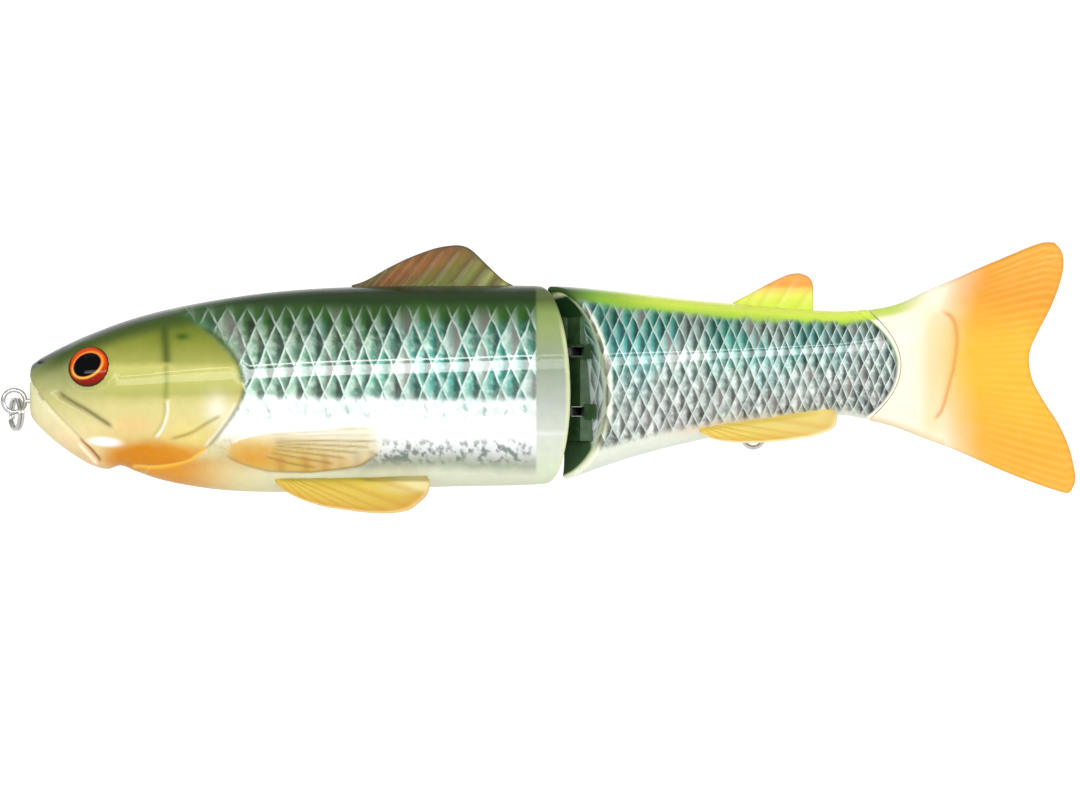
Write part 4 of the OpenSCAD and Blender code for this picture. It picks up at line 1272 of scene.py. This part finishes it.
for side, word in ((-1, "left"), (1, "right")):
    front = half_body("front_half_" + word, side, nose_end, groove_end, 400, 190, front_relief,
                      front_paint, front_lattice, 8, (1.6, 1.1))
    out, back, up = eye_axes(side)
    centre = Vector((EYE_AT.x, EYE_AT.y * side, EYE_AT.z))
    socket = lathe("cutter", [(0, -0.75), (EYE_R - 0.02, -0.75), (EYE_R - 0.02, 7), (0, 7)],
                   96, centre, out, back, up)
    carve(front, socket)
    fill_cut_faces(front, (96, 84, 44))
    sharpen(front, 38)
    add(front, "front_body", "shell", SKIN, "front_shell_" + word)

    rear = half_body("rear_half_" + word, side, wedge_end, tail_end, 300, 170, rear_relief,
                     rear_paint, rear_lattice, 20, (1.0, 0.5))
    pocket = box_cutter((120, 141.97), sorted((-1.0 * side, 6.97 * side)), (-9.44, 19.94))
    carve(rear, pocket)
    fill_cut_faces(rear, (30, 52, 28))
    sharpen(rear, 38)
    add(rear, "rear_body", "shell", SKIN, "rear_shell_" + word)

    add(eye_dome("eye_dome_" + word, side), "front_body", "eye_lens", EYE, "eye_lens_" + word)
    pelvic = fin("pelvic_" + word, PELVIC, lambda x: 1.6 + 0 * x, 0.68, 0.34, 9, 0.1,
                 pelvic_paint, leaning(7.4, -18.6, 35), side, 4.0)
    add(pelvic, "front_body", "soft_fin", SOFT_FIN, "pelvic_fin_" + word)
    anal = fin("anal_" + word, ANAL, lambda x: 1.2 + 0 * x, 0.68, 0.34, 7, 0.1, anal_paint,
               leaning(4.1, -4.6, 30, -9, 179), side, 4.0)
    add(anal, "rear_body", "soft_fin", SOFT_FIN, "anal_fin_" + word)

dorsal = fin("dorsal", DORSAL, lambda x: curve(BACK, x) - 1.5, 0.8, 0.45, 11, 0.2, dorsal_paint)
add(dorsal, "front_body", "soft_fin", SOFT_FIN, "dorsal_fin")
second = fin("second_dorsal", SECOND_DORSAL, lambda x: curve(BACK, x) - 1.5, 0.8, 0.45, 5, 0.12,
             second_dorsal_paint)
add(second, "rear_body", "soft_fin", SOFT_FIN, "second_dorsal_fin")

tail = soft_tail()
sharpen(tail, 60)
dress(tail, SOFT_TAIL)
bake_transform(tail)
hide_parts("tail_socket", "tail_blade")

add(split_ring(), "line_ring", "steel", STEEL, "line_tie_ring")

for node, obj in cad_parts.items():
    if obj.hide_render:
        continue
    kind = (STEEL if node in ("line_tie_eye", "hinge_pin") or "hanger" in node
            else BALLAST if "weight" in node
            else BLACK if "plate" in node
            else GREEN if node == "hinge_block"
            else IVORY if node == "tail_tang"
            else IRIS)
    dress(obj, kind)


# ---------------------------------------------------------------- studio
def area_light(name, place, aim, size, radiance):
    """Rectangular softbox of a given brightness, whatever its size."""
    data = bpy.data.lights.new(name, "AREA")
    data.shape, data.size, data.size_y = "RECTANGLE", size[0], size[1]
    data.energy = radiance * math.pi * size[0] * size[1]
    obj = bpy.data.objects.new(name, data)
    bpy.context.collection.objects.link(obj)
    obj.location = place
    direction = Vector(aim) - Vector(place)
    obj.rotation_euler = direction.to_track_quat("-Z", "Y").to_euler()
    obj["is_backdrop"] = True
    return obj


def at_elevation(distance, degrees):
    e = math.radians(degrees)
    return (MIDDLE_AT[0], -distance * math.cos(e), distance * math.sin(e))


MIDDLE_AT = (0.125, 0, 0.005)
area_light("line_strip", at_elevation(0.95, 19), MIDDLE_AT, (1.7, 0.016), 16)
area_light("band_box", at_elevation(0.95, 13.5), MIDDLE_AT, (1.7, 0.1), 11)
area_light("top_box", (0.125, -0.1, 1.2), MIDDLE_AT, (1.8, 1.0), 0.35)
area_light("back_box", (0.125, 0.9, 0.5), MIDDLE_AT, (1.4, 0.5), 0.9)

floor_z = min(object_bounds()[0].z, CAD_BOX[0].z) - 0.0004
profile = [(-2.5, 0.0), (1.1, 0.0)]
profile += [(1.1 + 0.5 * math.sin(a), 0.5 - 0.5 * math.cos(a))
            for a in np.linspace(0.08, math.pi / 2, 14)]
profile.append((1.6, 2.6))
cove_verts = [(x / MM, y / MM, (z + floor_z) / MM) for y, z in profile for x in (-2.5, 2.75)]
cove = new_object("studio_cove", cove_verts,
                  [(2 * i, 2 * i + 1, 2 * i + 3, 2 * i + 2) for i in range(len(profile) - 1)])
cove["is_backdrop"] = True
g = Graph("studio_white")
nodes, links = g.tree.nodes, g.tree.links
path = nodes.new("ShaderNodeLightPath")
glow = nodes.new("ShaderNodeEmission")
glow.inputs["Color"].default_value = (1, 1, 1, 1)
links.new(g.math("MULTIPLY_ADD", path.outputs["Is Camera Ray"], 0.16, 0.76), glow.inputs[1])
both = nodes.new("ShaderNodeAddShader")
g.set(Base_Color=(0.2, 0.2, 0.2, 1), Roughness=0.9)
links.new(g.bsdf.outputs[0], both.inputs[0])
links.new(glow.outputs[0], both.inputs[1])
behind = nodes.new("ShaderNodeMixShader")
links.new(nodes.new("ShaderNodeNewGeometry").outputs["Backfacing"], behind.inputs[0])
links.new(both.outputs[0], behind.inputs[1])
links.new(nodes.new("ShaderNodeBsdfTransparent").outputs[0], behind.inputs[2])
out = [n for n in nodes if n.type == "OUTPUT_MATERIAL"][0]
links.new(behind.outputs[0], out.inputs[0])
dress(cove, g.mat)

scene = bpy.context.scene
world = bpy.data.worlds.new("studio")
world.use_nodes = True
scene.world = world
w = world.node_tree
background = [n for n in w.nodes if n.type == "BACKGROUND"][0]
background.inputs[0].default_value = (1, 1, 1, 1)
ray = w.nodes.new("ShaderNodeLightPath")
power = w.nodes.new("ShaderNodeMath")
power.operation = "MULTIPLY_ADD"
w.links.new(ray.outputs["Is Camera Ray"], power.inputs[0])
power.inputs[1].default_value, power.inputs[2].default_value = 0.56, 0.44
w.links.new(power.outputs[0], background.inputs[1])
scene.view_settings.view_transform = "Standard"

cam = bpy.data.cameras.new("camera")
cam.lens, cam.sensor_width = 300, 36
camera = bpy.data.objects.new("camera", cam)
bpy.context.collection.objects.link(camera)
camera.location = (0.12545, -2.147, -0.00036)
camera.rotation_euler = (math.pi / 2, 0, 0)
scene.camera = camera
